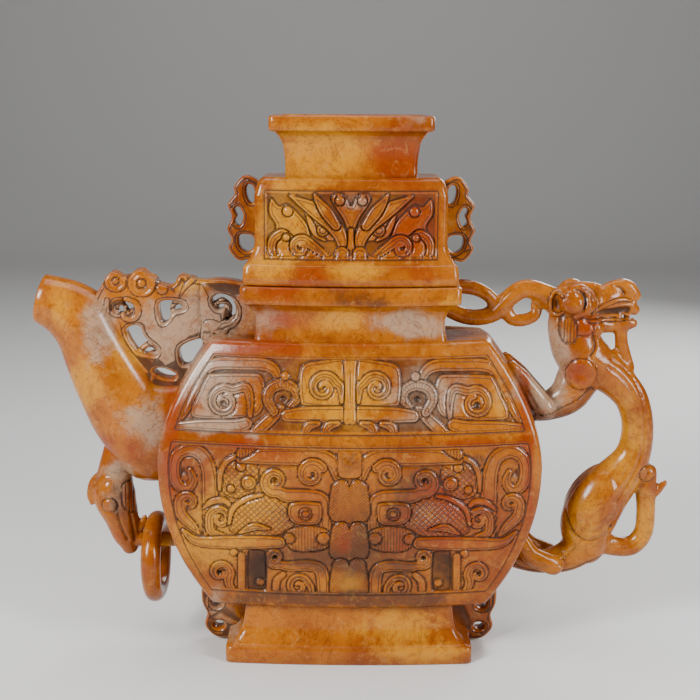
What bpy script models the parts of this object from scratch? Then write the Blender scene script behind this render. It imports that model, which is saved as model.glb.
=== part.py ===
# Carved jade wine pot: a hollow flattened body on a spreading foot, with a spout, an openwork scroll, a
# bird's head that holds a loose ring, and a climbing dragon as its handle, closed by a box-shaped lid.
# The stone is parted at its neck, spout, figures and knob into solids that stand a hair apart.
# Metres, +Z up. The origin is the middle of the foot's underside, and +X points to the handle.

import math

import bmesh
import bpy

MM = 0.001

# Foot
FOOT_HALF_WIDTH = 52.3 * MM
FOOT_HALF_DEPTH = 24.0 * MM
FOOT_BAND = 7.5 * MM
FOOT_EDGE = 0.8 * MM
WAIST_HALF_WIDTH = 44.0 * MM
WAIST_HALF_DEPTH = 18.0 * MM
FOOT_BOW = 2.0 * MM

# Body
BELLY_BOTTOM = 25.0 * MM
BELLY_BOTTOM_HALF_WIDTH = 58.0 * MM
BELLY_BOTTOM_HALF_DEPTH = 19.0 * MM
BELLY_BOTTOM_BOW = 4.7 * MM
WIDEST_HEIGHT = 86.0 * MM
BODY_HALF_WIDTH = 79.0 * MM
BODY_HALF_DEPTH = 23.0 * MM
BODY_BOW = 9.0 * MM
BODY_TOP = 138.5 * MM
SHOULDER_HALF_WIDTH = 56.5 * MM
SHOULDER_HALF_DEPTH = 14.0 * MM
SHOULDER_BOW = 7.6 * MM
SHOULDER_EDGE = 1.2 * MM
SIDE_BOW = 1.5 * MM
EDGE_CHAMFER = 2.5 * MM
WALL = 5.0 * MM
BODY_FLOOR = 6.0 * MM

# Neck and collar
NECK_HALF_WIDTH = 38.5 * MM
NECK_HALF_DEPTH = 14.5 * MM
NECK_BOW = 4.0 * MM
NECK_HEIGHT = 15.5 * MM
COLLAR_HEIGHT = 7.0 * MM
COLLAR_REACH = 6.0 * MM
COLLAR_FRONT_REACH = 4.8 * MM
COLLAR_EDGE = 1.0 * MM

# Lid
LID_GAP = 0.3 * MM
FLANGE_CLEARANCE = 0.5 * MM
FLANGE_DEPTH = 9.0 * MM
FLANGE_WALL = 3.0 * MM
LID_SEAT_INSET = 1.2 * MM
LID_HEIGHT = 42.5 * MM
LID_MOULDING = 8.0 * MM
LID_EDGE = 0.8 * MM
LID_COVE = 7.0 * MM
LID_HALF_WIDTH = 38.5 * MM
LID_HALF_DEPTH = 14.5 * MM
LID_TOP_INSET = 3.4 * MM
LID_CROWN = 7.0 * MM
LID_WALL = 5.0 * MM
KNOB_HALF_WIDTH = 26.4 * MM
KNOB_HALF_DEPTH = 10.5 * MM
KNOB_BOW = 1.6 * MM
KNOB_HEIGHT = 24.0 * MM
KNOB_RIM = 5.5 * MM
KNOB_FLARE = 6.1 * MM
KNOB_WALL = 4.0 * MM
KNOB_HOLLOW = 18.0 * MM
EAR_HALF_THICKNESS = 3.6 * MM

# Relief
PANEL_DEPTH = 1.6 * MM
PANEL_FRAME = 5.5 * MM
UPPER_PANEL_TOP = 132.8 * MM
UPPER_PANEL_BOTTOM = 103.5 * MM
LOWER_PANEL_TOP = 97.3 * MM
LOWER_PANEL_BOTTOM = 32.5 * MM
LID_PANEL_TOP = 198.3 * MM
LID_PANEL_BOTTOM = 172.5 * MM
LID_PANEL_FRAME = 4.6 * MM
RIBBON_SINK = 1.2 * MM
RIBBON_RISE = 0.3 * MM
BEAD_SINK = 0.3

# Side figures
STRUT_HALF_THICKNESS = 4.6 * MM
EYE_RISE = 1.2 * MM
SCROLL_HALF_THICKNESS = 4.0 * MM
BORE_WALL = 4.2
BORE_ROOT_INSET = 5.0
DRAGON_THICKNESS = 0.82
RING_PLACE = -84.3
RING_RADIUS = 15.6 * MM
RING_TUBE = 4.2 * MM
RING_GAP = 0.35 * MM
BAR_RADIUS = 3.2 * MM
BAR_HEIGHT = 46.2 * MM

# Where the stone is parted, and how far a cutter runs past what it cuts
PART_GAP = 0.3 * MM
TAIL_GAP = 0.5 * MM
DRAGON_NECK = 136.0
CUT_PAST = 2.0 * MM

# One drawn unit of the side figures, across and up, so that they stay on the body when it changes
ACROSS = BODY_HALF_WIDTH / 79.0
UP = BODY_TOP / 138.5
DRAWN_LID_TOP = 203.8
DRAWN_LID_HALF_WIDTH = 38.5

NECK_TOP = BODY_TOP + NECK_HEIGHT
COLLAR_TOP = NECK_TOP + COLLAR_HEIGHT
LID_BOTTOM = COLLAR_TOP + LID_GAP
LID_TOP = LID_BOTTOM + LID_HEIGHT
KNOB_TOP = LID_TOP + KNOB_HEIGHT
CAVITY_FLOOR = BELLY_BOTTOM + BODY_FLOOR
MERGE = 0.000002
FACE_SPAN_COUNT = 6
FLANK_SHARE = 0.4
SPOUT_SIDE_COUNT = 14
BORE_SIDE_COUNT = 10
RING_SPAN_COUNT = 20
RING_SIDE_COUNT = 7
SCROLL_HOLE_COUNT = 7
THICK_LIMB = 6.5
PANEL_SPAN_COUNT = 8
FLAT_ANGLE = math.radians(2)

# Coves and flares: the share of the height, and the share of the reach there
FOOT_COVE = ((0.05, 0.62), (0.28, 0.25), (0.6, 0.08), (1.0, 0.0))
NECK_COVE = ((0.0, 0.17), (0.25, 0.02), (0.55, 0.0), (0.8, 0.25), (0.95, 0.7), (1.0, 1.0))
LID_FOOT_COVE = ((0.21, 0.7), (0.64, 0.25), (1.0, 0.0))
LID_CROWN_CURVE = ((1.0, 0.0), (0.43, 0.3), (0.13, 0.62), (0.0, 1.0))
KNOB_CURVE = ((0.25, 0.0), (0.5, 0.12), (0.62, 0.3), (0.72, 0.62))
KNOB_EDGE_FLARE = 0.88
KNOB_HOLLOW_FLARE = 0.3


def clear_scene():
    for item in list(bpy.data.objects):
        bpy.data.objects.remove(item, do_unlink=True)


def new_collection(name):
    group = bpy.data.collections.new(name)
    bpy.context.scene.collection.children.link(group)
    return group


def add_mesh(name, mesh, group):
    item = bpy.data.objects.new(name, mesh)
    group.objects.link(item)
    return item


def hide_tool(item):
    item.hide_render = True
    item.display_type = "WIRE"
    return item


def combine(target, tool, operation):
    change = target.modifiers.new(operation.title() + " " + tool.name, "BOOLEAN")
    change.operation = operation
    change.solver = "EXACT"
    change.object = tool


def join(target, tools):
    for tool in tools:
        combine(target, hide_tool(tool), "UNION")


def cut(target, tools):
    for tool in tools:
        combine(target, hide_tool(tool), "DIFFERENCE")


def mesh_from_bm(name, shape):
    bmesh.ops.recalc_face_normals(shape, faces=shape.faces)
    mesh = bpy.data.meshes.new(name)
    shape.to_mesh(mesh)
    shape.free()
    return mesh


def loft(name, rings, group):
    # Rings with equal counts of points, joined by four-sided faces and closed by a cap at each end
    shape = bmesh.new()
    rows = [[shape.verts.new(point) for point in ring] for ring in rings]
    count = len(rings[0])
    for lower, upper in zip(rows, rows[1:]):
        for i in range(count):
            j = (i + 1) % count
            shape.faces.new((lower[i], lower[j], upper[j], upper[i]))
    shape.faces.new(list(reversed(rows[0])))
    shape.faces.new(rows[-1])
    return add_mesh(name, mesh_from_bm(name, shape), group)


def block(name, low, high, group):
    # A box between two corners
    shape = bmesh.new()
    bmesh.ops.create_cube(shape, size=1.0)
    for vertex in shape.verts:
        vertex.co = [a + (b - a) * (c + 0.5) for a, b, c in zip(low, high, vertex.co)]
    return add_mesh(name, mesh_from_bm(name, shape), group)


def spline_point(p0, p1, p2, p3, t):
    # Catmull-Rom curve between p1 and p2
    return tuple(
        0.5 * (2 * b + (c - a) * t + (2 * a - 5 * b + 4 * c - d) * t * t + (3 * b - a - 3 * c + d) * t ** 3)
        for a, b, c, d in zip(p0, p1, p2, p3))


def smooth_path(points, steps):
    path = []
    for i in range(len(points) - 1):
        before = points[max(i - 1, 0)]
        after = points[min(i + 2, len(points) - 1)]
        for k in range(steps):
            path.append(spline_point(before, points[i], points[i + 1], after, k / steps))
    path.append(tuple(points[-1]))
    return path


def ellipse(x, z, half_width, half_height, count=10):
    turn = 2 * math.pi / count
    return [(x + half_width * math.cos(turn * i), z + half_height * math.sin(turn * i)) for i in range(count)]


def spiral(x, z, inner, outer, start, sweep, count):
    # Points from the eye of a spiral outwards, with angles in degrees
    path = []
    for i in range(count + 1):
        share = i / count
        angle = math.radians(start + sweep * share)
        radius = inner + (outer - inner) * share
        path.append((x + radius * math.cos(angle), z + radius * math.sin(angle)))
    return path


def ribbon(path, width, end_width=None):
    # The closed outline of a band along a path, with pointed round ends
    last = len(path) - 1
    end_width = width if end_width is None else end_width
    left = []
    right = []
    for i, (x, z) in enumerate(path):
        ahead = path[min(i + 1, last)]
        behind = path[max(i - 1, 0)]
        run = (ahead[0] - behind[0], ahead[1] - behind[1])
        length = math.hypot(*run)
        half = 0.5 * (width + (end_width - width) * i / last)
        half *= 0.6 if i in (0, last) else 1.0
        side = (-run[1] / length * half, run[0] / length * half)
        left.append((x + side[0], z + side[1]))
        right.append((x - side[0], z - side[1]))
    return left + right[::-1]


def outlines_to_mesh(name, loops, half_thickness):
    # Closed flat outlines, filled and given a thickness; a loop inside another is a hole
    flat = bpy.data.curves.new(name, "CURVE")
    flat.dimensions = "2D"
    flat.fill_mode = "BOTH"
    flat.extrude = half_thickness
    for loop in loops:
        line = flat.splines.new("POLY")
        line.points.add(len(loop) - 1)
        for point, (x, z) in zip(line.points, loop):
            point.co = (x, z, 0, 1)
        line.use_cyclic_u = True
    return mesh_of_curve(name, flat)


def mesh_of_curve(name, curve):
    holder = bpy.data.objects.new(name, curve)
    bpy.context.scene.collection.objects.link(holder)
    graph = bpy.context.evaluated_depsgraph_get()
    mesh = bpy.data.meshes.new_from_object(holder.evaluated_get(graph))
    bpy.data.objects.remove(holder, do_unlink=True)
    bpy.data.curves.remove(curve)
    shape = bmesh.new()
    shape.from_mesh(mesh)
    bmesh.ops.remove_doubles(shape, verts=shape.verts, dist=MERGE)
    bmesh.ops.recalc_face_normals(shape, faces=shape.faces)
    shape.to_mesh(mesh)
    shape.free()
    return mesh


def plate(name, loops, half_thickness, group):
    # A flat openwork plate that stands in the pot's middle plane
    mesh = outlines_to_mesh(name, loops, half_thickness)
    for vertex in mesh.vertices:
        x, z, y = vertex.co
        vertex.co = (x, -y, z)
    return add_mesh(name, mesh, group)


def side_loop(points, mirrored=False):
    sign = -1 if mirrored else 1
    return [(sign * x * ACROSS, z * UP) for x, z in points]


def ear_loop(points, side):
    # A drawn outline beside the lid, which moves with the lid's width and top; side is -1 or 1
    out = LID_HALF_WIDTH - DRAWN_LID_HALF_WIDTH * MM
    lift = LID_TOP - DRAWN_LID_TOP * MM
    return [(side * (out - x * MM), z * MM + lift) for x, z in points]


def limb(name, stations, group, steps=2, y=0.0, thickness=DRAGON_THICKNESS, grow=0.0):
    # A round limb through stations of x, z and radius in drawn millimetres, thinned from front to back
    curve = bpy.data.curves.new(name, "CURVE")
    curve.dimensions = "3D"
    curve.bevel_depth = MM
    curve.bevel_resolution = 2 if max(station[2] for station in stations) > THICK_LIMB else 1
    curve.use_fill_caps = True
    path = smooth_path(stations, steps)
    line = curve.splines.new("POLY")
    line.points.add(len(path) - 1)
    for point, (x, z, radius) in zip(line.points, path):
        point.co = (x * ACROSS, 0, z * UP, 1)
        point.radius = radius + grow / MM
    mesh = mesh_of_curve(name, curve)
    for vertex in mesh.vertices:
        vertex.co.y = vertex.co.y * thickness + y * MM
    return add_mesh(name, mesh, group)


def longer(stations, reach):
    # The stations with the last one moved on along its run
    (x0, z0, _), (x1, z1, radius) = stations[-2:]
    share = 1 + reach / math.hypot(x1 - x0, z1 - z0)
    return stations[:-1] + ((blend(x0, x1, share), blend(z0, z1, share), radius),)


def blend(low, high, share, power=1):
    return low + (high - low) * share ** power


def body_size(z):
    # Half width, half depth at the corners and bow of the body at a height
    widest = (BODY_HALF_WIDTH, BODY_HALF_DEPTH, BODY_BOW)
    if z >= WIDEST_HEIGHT:
        end = (SHOULDER_HALF_WIDTH, SHOULDER_HALF_DEPTH, SHOULDER_BOW)
        share = (z - WIDEST_HEIGHT) / (BODY_TOP - WIDEST_HEIGHT)
        power = 1.8
    else:
        end = (BELLY_BOTTOM_HALF_WIDTH, BELLY_BOTTOM_HALF_DEPTH, BELLY_BOTTOM_BOW)
        share = (WIDEST_HEIGHT - z) / (WIDEST_HEIGHT - BELLY_BOTTOM)
        power = 2.1
    share = min(max(share, 0.0), 1.0)
    return tuple(blend(a, b, share, power) for a, b in zip(widest, end))


def bowed(x, half_width, half_depth, bow):
    return half_depth + bow * (1 - (x / half_width) ** 2)


def body_face(x, z):
    return bowed(x, *body_size(z))


def lid_face(x, z):
    return bowed(x, LID_HALF_WIDTH, LID_HALF_DEPTH, NECK_BOW)


def ring_of(z, half_width, half_depth, bow, side_bow=0.0, chamfer=EDGE_CHAMFER, across=FACE_SPAN_COUNT):
    # A flattened four-sided section with bowed faces and chamfered corners
    edge = half_width - chamfer
    xs = [edge * (2 * i / across - 1) for i in range(across + 1)]
    front = [(x, -bowed(x, half_width, half_depth, bow), z) for x in xs]
    flank = half_depth - FLANK_SHARE * chamfer
    right = [(half_width, -flank, z), (half_width + side_bow, 0, z), (half_width, flank, z)]
    back = [(-x, -y, z) for x, y, z in front]
    left = [(-x, -y, z) for x, y, z in right]
    return front + right + back + left


def heights_between(low, high, count):
    return [low + (high - low) * i / count for i in range(count + 1)]


def lower_rings(grow=0.0):
    # The foot, the waist and the body up to the shoulder; grow sets the surface out by that much
    rings = []
    for height, inset in ((-grow, 0.0), (FOOT_BAND - FOOT_EDGE, 0.0), (FOOT_BAND + grow, FOOT_EDGE)):
        out = grow - inset
        rings.append(ring_of(height, FOOT_HALF_WIDTH + out, FOOT_HALF_DEPTH + out, FOOT_BOW))
    for rise, reach in FOOT_COVE:
        height = blend(FOOT_BAND + grow, BELLY_BOTTOM - grow, rise)
        width = blend(WAIST_HALF_WIDTH, FOOT_HALF_WIDTH, reach) + grow
        depth = blend(WAIST_HALF_DEPTH, FOOT_HALF_DEPTH, reach) + grow
        rings.append(ring_of(height, width, depth, FOOT_BOW))
    for height in heights_between(BELLY_BOTTOM - grow, BODY_TOP - SHOULDER_EDGE, 9):
        width, depth, bow = body_size(height)
        rings.append(ring_of(height, width + grow, depth + grow, bow, SIDE_BOW))
    width = SHOULDER_HALF_WIDTH - SHOULDER_EDGE + grow
    depth = SHOULDER_HALF_DEPTH - SHOULDER_EDGE + grow
    rings.append(ring_of(BODY_TOP + grow, width, depth, SHOULDER_BOW, SIDE_BOW))
    return rings


def neck_rings(low, grow=0.0):
    # The waisted neck and the collar
    rings = []
    for rise, reach in NECK_COVE:
        height = blend(low, NECK_TOP - grow, rise)
        width = NECK_HALF_WIDTH + reach * COLLAR_REACH + grow
        rings.append(ring_of(height, width, NECK_HALF_DEPTH + reach * COLLAR_FRONT_REACH + grow, NECK_BOW))
    for height, inset in ((COLLAR_TOP - COLLAR_EDGE, 0.0), (COLLAR_TOP + grow, COLLAR_EDGE)):
        width = NECK_HALF_WIDTH + COLLAR_REACH - inset + grow
        rings.append(ring_of(height, width, NECK_HALF_DEPTH + COLLAR_FRONT_REACH - inset + grow, NECK_BOW))
    return rings


def vessel_clearance(group):
    # The whole vessel set out by the parting gap, to cut what stands against it
    rings = lower_rings(PART_GAP) + neck_rings(BODY_TOP + PART_GAP, PART_GAP)
    return loft("vessel clearance", rings, group)


def cavity(group):
    rings = []
    inner_top = BODY_TOP - WALL
    for height in heights_between(CAVITY_FLOOR, inner_top, 5):
        width, depth, bow = body_size(height)
        rings.append(ring_of(height, width - WALL, depth - WALL, bow))
    for height in (inner_top, COLLAR_TOP + CUT_PAST):
        rings.append(mouth_ring(height, 0.0))
    return loft("cavity", rings, group)


def mouth_ring(height, inset):
    width = NECK_HALF_WIDTH - WALL - inset
    return ring_of(height, width, NECK_HALF_DEPTH - WALL - inset, NECK_BOW)


# Spout: upper edge, lower edge and half depth of each station, in drawn millimetres
SPOUT = (
    (-70.0, 118.0, -72.0, 74.0, 13.0),
    (-80.5, 117.5, -91.5, 74.5, 14.0),
    (-85.0, 123.0, -106.0, 91.0, 12.5),
    (-90.0, 131.0, -113.5, 107.0, 11.5),
    (-95.5, 141.0, -119.0, 122.5, 11.0),
    (-102.0, 152.5, -122.0, 132.5, 10.5),
    (-112.0, 159.0, -126.0, 138.5, 9.8),
    (-126.0, 162.5, -131.2, 142.5, 9.2),
)
BORE_START = (-60.0, 112.0, -60.0, 80.0, 11.0)
BORE_END = (-133.0, 163.5, -138.2, 143.5, 9.2)


def spout_ring(station, inset, count):
    top_x, top_z, low_x, low_z, depth = station
    middle = (0.5 * (top_x + low_x), 0.5 * (top_z + low_z))
    reach = (0.5 * (top_x - low_x), 0.5 * (top_z - low_z))
    share = 1 - inset / math.hypot(*reach)
    ring = []
    for i in range(count):
        angle = 2 * math.pi * i / count
        x = middle[0] + reach[0] * share * math.cos(angle)
        z = middle[1] + reach[1] * share * math.cos(angle)
        ring.append((x * ACROSS, (depth - inset) * MM * math.sin(angle), z * UP))
    return ring


def spout_solid(name, group, grow=0.0):
    return loft(name, [spout_ring(station, -grow / MM, SPOUT_SIDE_COUNT) for station in SPOUT], group)


def spout_bore(group):
    rings = []
    for station in (BORE_START,) + SPOUT[1:] + (BORE_END,):
        inset = BORE_WALL + (BORE_ROOT_INSET if station is SPOUT[1] else 0.0)
        rings.append(spout_ring(station, inset, BORE_SIDE_COUNT))
    return loft("spout bore", rings, group)


# Openwork strut between the spout and the neck
STRUT_EDGE = (
    (-106, 150), (-103, 158), (-98, 164.2), (-93, 162), (-87, 164.8), (-81, 161.5), (-78, 158.8), (-73, 159),
    (-70.5, 163), (-66, 162), (-62, 160.8), (-54, 161.4), (-46, 160.4), (-38, 158), (-36, 146), (-37, 131),
    (-52, 128), (-64, 112), (-74, 104), (-92, 112), (-101, 132))
STRUT_HOLES = (
    ((-99.5, 149.7), (-96, 152.3), (-90.5, 151.3), (-89.8, 148.8), (-93, 147.7), (-97, 146.6)),
    ((-79, 151.6), (-70, 151.9), (-68.5, 149.1), (-74, 147.3), (-75.5, 144.2), (-78.5, 143.1)),
    ((-57.5, 152.6), (-54, 155.4), (-48.5, 153.2), (-47.5, 146.9), (-52, 143.8), (-51.5, 149.4),
     (-55, 148.5)),
    ((-93.5, 139.6), (-88, 141.9), (-85.5, 136.8), (-80.3, 132.1), (-81, 129.2), (-86, 129.6),
     (-89.5, 131.4)),
    ((-71, 132.5), (-63, 136.3), (-61.5, 134), (-66.5, 126), (-70.5, 125.5)),
    ((-82.5, 122.6), (-79, 123.8), (-73.5, 121.5), (-73.6, 119.2), (-79, 119.8)))
STRUT_EYES = ((-97.5, 159.5, 4.6), (-86.7, 158.9, 5.9))

# Foot scroll and lid ear, drawn on the left side and mirrored for the right
FOOT_SCROLL = (
    (-60, 29), (-64.3, 26), (-64.5, 18), (-62.4, 12.5), (-63.5, 7), (-59, 1.8), (-52, 1.2), (-42, 3),
    (-40, 16), (-42, 29))
FOOT_SCROLL_HOLES = ((-57.8, 18.6, 2.6, 3.2), (-57.2, 7.4, 2.5, 1.9))
LID_EAR = (
    (-40, 203), (-44, 203.4), (-47.6, 198.8), (-47.2, 196.2), (-50.2, 192), (-48.6, 187), (-50.6, 182),
    (-48.9, 177.8), (-50.2, 174), (-46.4, 169.2), (-42, 169.7), (-35, 171.1), (-34.5, 186.3), (-35.5, 198.6))
LID_EAR_HOLES = (
    ((-42, 200.1), (-39.6, 199.2), (-39, 193.9), (-41, 192.7), (-42.6, 196.5)),
    ((-45.8, 191.3), (-43.8, 187.5), (-45.4, 183.4), (-47.4, 185), (-46.4, 187.5), (-47.4, 190)),
    ((-45.4, 179.7), (-40, 179.1), (-40, 174.4), (-42.8, 172.7), (-45.6, 175.2)))

# Dragon handle: stations of x, z and radius, in drawn millimetres
TRUNK = (
    (93, 151, 9.3), (92, 141, 9.6), (97, 130, 11.0), (107, 123, 8.8), (115, 116, 7.4), (120, 109, 6.9),
    (122.6, 98, 6.8), (121.3, 86, 7.6), (115.5, 76, 9.8), (107.5, 66, 12.2), (103, 54, 11.6), (103, 45, 9.0))
HEAD = {
    "upper curl": ((40, 158.5, 3.2), (50, 158, 3.1), (57, 154.8, 2.8), (60.5, 150, 2.8)),
    "shoulder ribbon": (
        (38, 150, 3.2), (46.5, 146.2, 3.4), (53.5, 145.4, 3.5), (60.5, 147.6, 3.7), (66, 153.8, 3.9),
        (72.5, 157.6, 4.0), (80, 155.5, 4.4), (87, 151, 6.0)),
    "hanging curl": (
        (64.5, 149.5, 2.6), (67, 145, 2.8), (72.5, 144.4, 2.7), (77.3, 147, 2.4), (76, 151, 1.4)),
    "snout": ((93, 151.5, 9.0), (103, 153.6, 5.6), (111.5, 156, 5.2), (116, 151.5, 4.2), (117.6, 148, 2.2)),
    "lower jaw": ((96, 144.5, 4.8), (107, 144.8, 2.1), (115, 144.4, 2.0), (118.2, 146, 1.5)),
    "head crest": ((84, 152, 4.6), (92, 157.2, 3.4), (100, 158, 2.6), (105, 157, 1.8)),
}
BEARD = ((113.5, 143.5, 2.3), (113.4, 136, 2.8), (115, 130, 2.8), (117.5, 124, 2.4))
FORELEG = ((97, 121, 9.5), (92, 112, 8.2), (83, 107, 6.2), (73, 106, 5.2), (66, 106, 4.6))
HIND_LEG = ((104, 50, 10.0), (97, 40.5, 7.4), (86, 36.8, 5.4), (76, 37.6, 4.8), (66, 41, 4.4))
TAIL = (
    (106, 47, 5.0), (116, 44.2, 4.6), (123.5, 44.6, 4.4), (128, 51, 4.2), (128.4, 61, 4.1), (127.8, 70, 4.4),
    (128.4, 78, 3.8))
TAIL_TIP = ((128.2, 68, 3.4), (132, 69.4, 2.4), (136, 73.4, 1.2))
PAW = ((82, 108, 4.4), (76.5, 114.5, 4.2), (71.5, 121, 3.6), (66.5, 126.5, 2.6))
HIND_FOOT = ((88, 38, 4.4), (78.5, 42.5, 4.2), (74.5, 48.5, 3.4), (71.5, 52.5, 2.4))
BROW = ((87, 154.5, 2.2), (92.5, 158.4, 2.8), (98.5, 156.4, 1.8))
PAW_OFFSET = 8.0
HIND_FOOT_OFFSET = 7.5
BROW_OFFSET = 6.5
BIRD_HEAD = (
    (-98, 88, 7.0), (-101, 76, 7.6), (-101.5, 66, 9.2), (-98.8, 56, 7.4), (-97, 48, 6.0), (-95.8, 43, 3.8))
BIRD_CREST = ((-102, 77, 3.0), (-109.3, 72.8, 2.5), (-111.8, 66.4, 1.9), (-111.6, 62.2, 0.9))
BAR_ENDS = (-95, -68)


def pair(name, stations, offset, group):
    sides = ((-1, " near"), (1, " far"))
    return [limb(name + word, stations, group, y=sign * offset) for sign, word in sides]


def beyond_neck(name, low, high, group):
    # A block over the dragon's whole width between two heights
    corner = (0.0, -BODY_HALF_WIDTH, low)
    return block(name, corner, (2 * BODY_HALF_WIDTH, BODY_HALF_WIDTH, high), group)


def balls(name, places, face, group, side=-1):
    # Half-sunk beads of x, z and radius in millimetres on a bowed face, mirrored to both halves
    shape = bmesh.new()
    for x, z, radius in places:
        for sign in (-1, 1):
            made = bmesh.ops.create_uvsphere(shape, u_segments=6, v_segments=4, radius=radius * MM)
            place = (sign * x * MM, side * (face(x * MM, z * MM) - BEAD_SINK * radius * MM), z * MM)
            bmesh.ops.translate(shape, verts=made["verts"], vec=place)
    return add_mesh(name, mesh_from_bm(name, shape), group)


def panel_cutter(name, low, high, width_of, face, group, side=-1):
    # A block whose inner face runs PANEL_DEPTH under the bowed face, between two heights
    rings = []
    for height in heights_between(low, high, 3):
        half = width_of(height)
        xs = [half * (2 * i / PANEL_SPAN_COUNT - 1) for i in range(PANEL_SPAN_COUNT + 1)]
        inner = [(x, side * (face(x, height) - PANEL_DEPTH), height) for x in xs]
        outer = [(x, side * (face(x, height) + 2 * CUT_PAST), height) for x in reversed(xs)]
        rings.append(inner + outer)
    return loft(name, rings, group)


def relief(name, loops, face, group, side=-1):
    # Outlines in millimetres on the left half, laid on the bowed face and mirrored to the right half
    scaled = [[(x * MM, z * MM) for x, z in loop] for loop in loops]
    mesh = outlines_to_mesh(name, scaled, 1.0)
    for vertex in mesh.vertices:
        x, z, up = vertex.co
        depth = face(x, z) + (RIBBON_RISE if up > 0 else -PANEL_DEPTH - RIBBON_SINK)
        vertex.co = (x, side * depth, z)
    shape = bmesh.new()
    shape.from_mesh(mesh)
    bmesh.ops.recalc_face_normals(shape, faces=shape.faces)
    shape.to_mesh(mesh)
    shape.free()
    item = add_mesh(name, mesh, group)
    mirror = item.modifiers.new("Mirror", "MIRROR")
    mirror.use_mirror_merge = False
    mirror.merge_threshold = 0.0001
    return item


def lower_panel_loops(plain):
    hook = [(-55, 74), (-55.2, 87), (-57.6, 92), (-63.4, 94.2), (-67.6, 91.8), (-69.4, 86), (-67.4, 80.2),
            (-63.6, 79.5), (-62.4, 83.6)]
    brow = spiral(-29.7, 83.4, 1.6, 5.4, 20, 250, 6) + [(-20, 78), (-12.5, 77.8), (-9.8, 75), (-9.6, 63)]
    loops = [
        ribbon(hook, 5.2, 3.6),
        ribbon(brow, 3.4, 4.0),
        ribbon([(-66, 61.5), (-58, 58.2), (-44, 57.6), (-29, 57.4)], 5.0, 4.4),
    ]
    if plain:
        return loops
    loops += [
        ribbon(spiral(-30, 49.6, 1.4, 4.2, 40, 240, 5) + [(-20, 50.8), (-11.5, 50), (-9.6, 46), (-9.6, 34.5)],
               3.2, 4.0),
        ribbon(spiral(-16.4, 87.6, 0.8, 4.6, 200, -400, 8), 2.2, 2.6),
        [(-51, 84), (-49.5, 88.6), (-44.5, 90.6), (-39, 88), (-37.5, 83.5), (-41, 78.5), (-47, 76.5),
         (-50.4, 79)],
        [(-46.5, 71), (-38, 76), (-27, 73), (-25.6, 68), (-33, 62.6), (-45.5, 63.4)],
        [(-23.4, 74.2), (-13, 73.8), (-12.4, 68), (-21.5, 67)],
        [(-26, 60), (-23.2, 63), (-17.5, 64.6), (-12.3, 61), (-12.3, 57), (-15, 54.2), (-24, 54.4)],
        ribbon(spiral(-65, 72.4, 0.8, 3.4, 180, -300, 5) + [(-62.4, 65)], 2.6, 2.0),
        ribbon(spiral(-51, 67, 0.9, 3.9, 200, 330, 6), 2.4, 2.8),
        ribbon(spiral(-23.2, 38.4, 0.9, 4.0, 330, -340, 6), 2.4, 3.0),
        ribbon(spiral(-53.5, 42, 0.9, 4.2, 0, 330, 6), 2.4, 3.0),
        ribbon([(-43.4, 51.5), (-42.6, 42), (-38.5, 37), (-33, 35.4)], 2.2, 2.6),
    ]
    return loops


def upper_panel_loops(plain):
    meander = spiral(-51.5, 114.4, 1.6, 6.0, 300, -240, 5) + [
        (-43.5, 119.2), (-40.2, 114.5), (-39.8, 107.4), (-47, 106.6), (-58, 106.4), (-66, 106.2)]
    loops = [
        ribbon(meander, 3.2, 3.6),
        ribbon([(-67, 110.3), (-63.4, 119.2), (-57, 128.6), (-37, 129), (-31, 125.8)], 3.6, 3.4),
    ]
    if plain:
        return loops
    loops += [
        ribbon([(-14, 113), (-18.4, 114), (-18.4, 123.6), (-9, 124.6), (-5.4, 122), (-5.4, 115.6)], 2.6, 2.6),
        ribbon([(-36, 106.5), (-28, 108.8), (-14, 108.4), (-4.6, 108.2)], 3.0, 3.4),
        ribbon(spiral(-25.6, 117, 1.2, 4.2, 0, 270, 5), 2.8, 2.8),
    ]
    return loops


def nose_loops():
    # The left half of the nose column: three stacked leaves with rounded tops
    loops = []
    for top, bottom in ((83.8, 66.6), (65.8, 49.4), (48.6, 33.4)):
        loops.append([(-7.2, bottom), (-0.3, bottom), (-0.3, top - 2.4), (-3.6, top), (-7.2, top - 1.8)])
    return loops


def bridge_loops():
    return [[(-36, 91.8), (-22, 93.6), (-12, 93.4), (-7.4, 86.4), (-0.3, 86.2), (-0.3, 96), (-12, 96),
             (-34, 95)]]


BODY_BALLS = ((-40.4, 82.6, 2.6), (-18, 70.6, 2.0), (-11.6, 59, 2.0))
LID_BALLS = ((-13.1, 184.2, 2.6), (-24.8, 191.5, 1.8))


def lid_loops(plain):
    loops = [
        ribbon([(-3.5, 190), (-12, 190.4), (-21, 194.4), (-29, 196)], 3.6, 2.0),
        ribbon(spiral(-20.6, 178, 1.0, 4.0, 90, 280, 6), 2.6, 3.0),
    ]
    if plain:
        return loops
    loops += [
        [(-18.4, 184.5), (-15.5, 186.8), (-10.5, 186.8), (-7.8, 184.6), (-11, 181.8), (-15.5, 182)],
        ribbon(spiral(-5.0, 176.8, 0.8, 2.4, 150, -250, 4), 2.0, 2.0),
        ribbon([(-30.5, 178), (-31.2, 184), (-28, 190)], 2.8, 2.2),
        ribbon([(-2.2, 188), (-2.4, 183), (-3, 180.4)], 3.0, 2.4),
        ribbon(spiral(-4.4, 194.8, 0.6, 2.0, 180, -250, 4), 1.8, 1.8),
    ]
    return loops


def body_panel_width(height):
    return body_size(height)[0] - PANEL_FRAME


def lid_panel_width(height):
    return LID_HALF_WIDTH - LID_PANEL_FRAME


def raised_lid(loops):
    lift = LID_TOP / MM - DRAWN_LID_TOP
    return [[(x, z + lift) for x, z in loop] for loop in loops]


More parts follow.
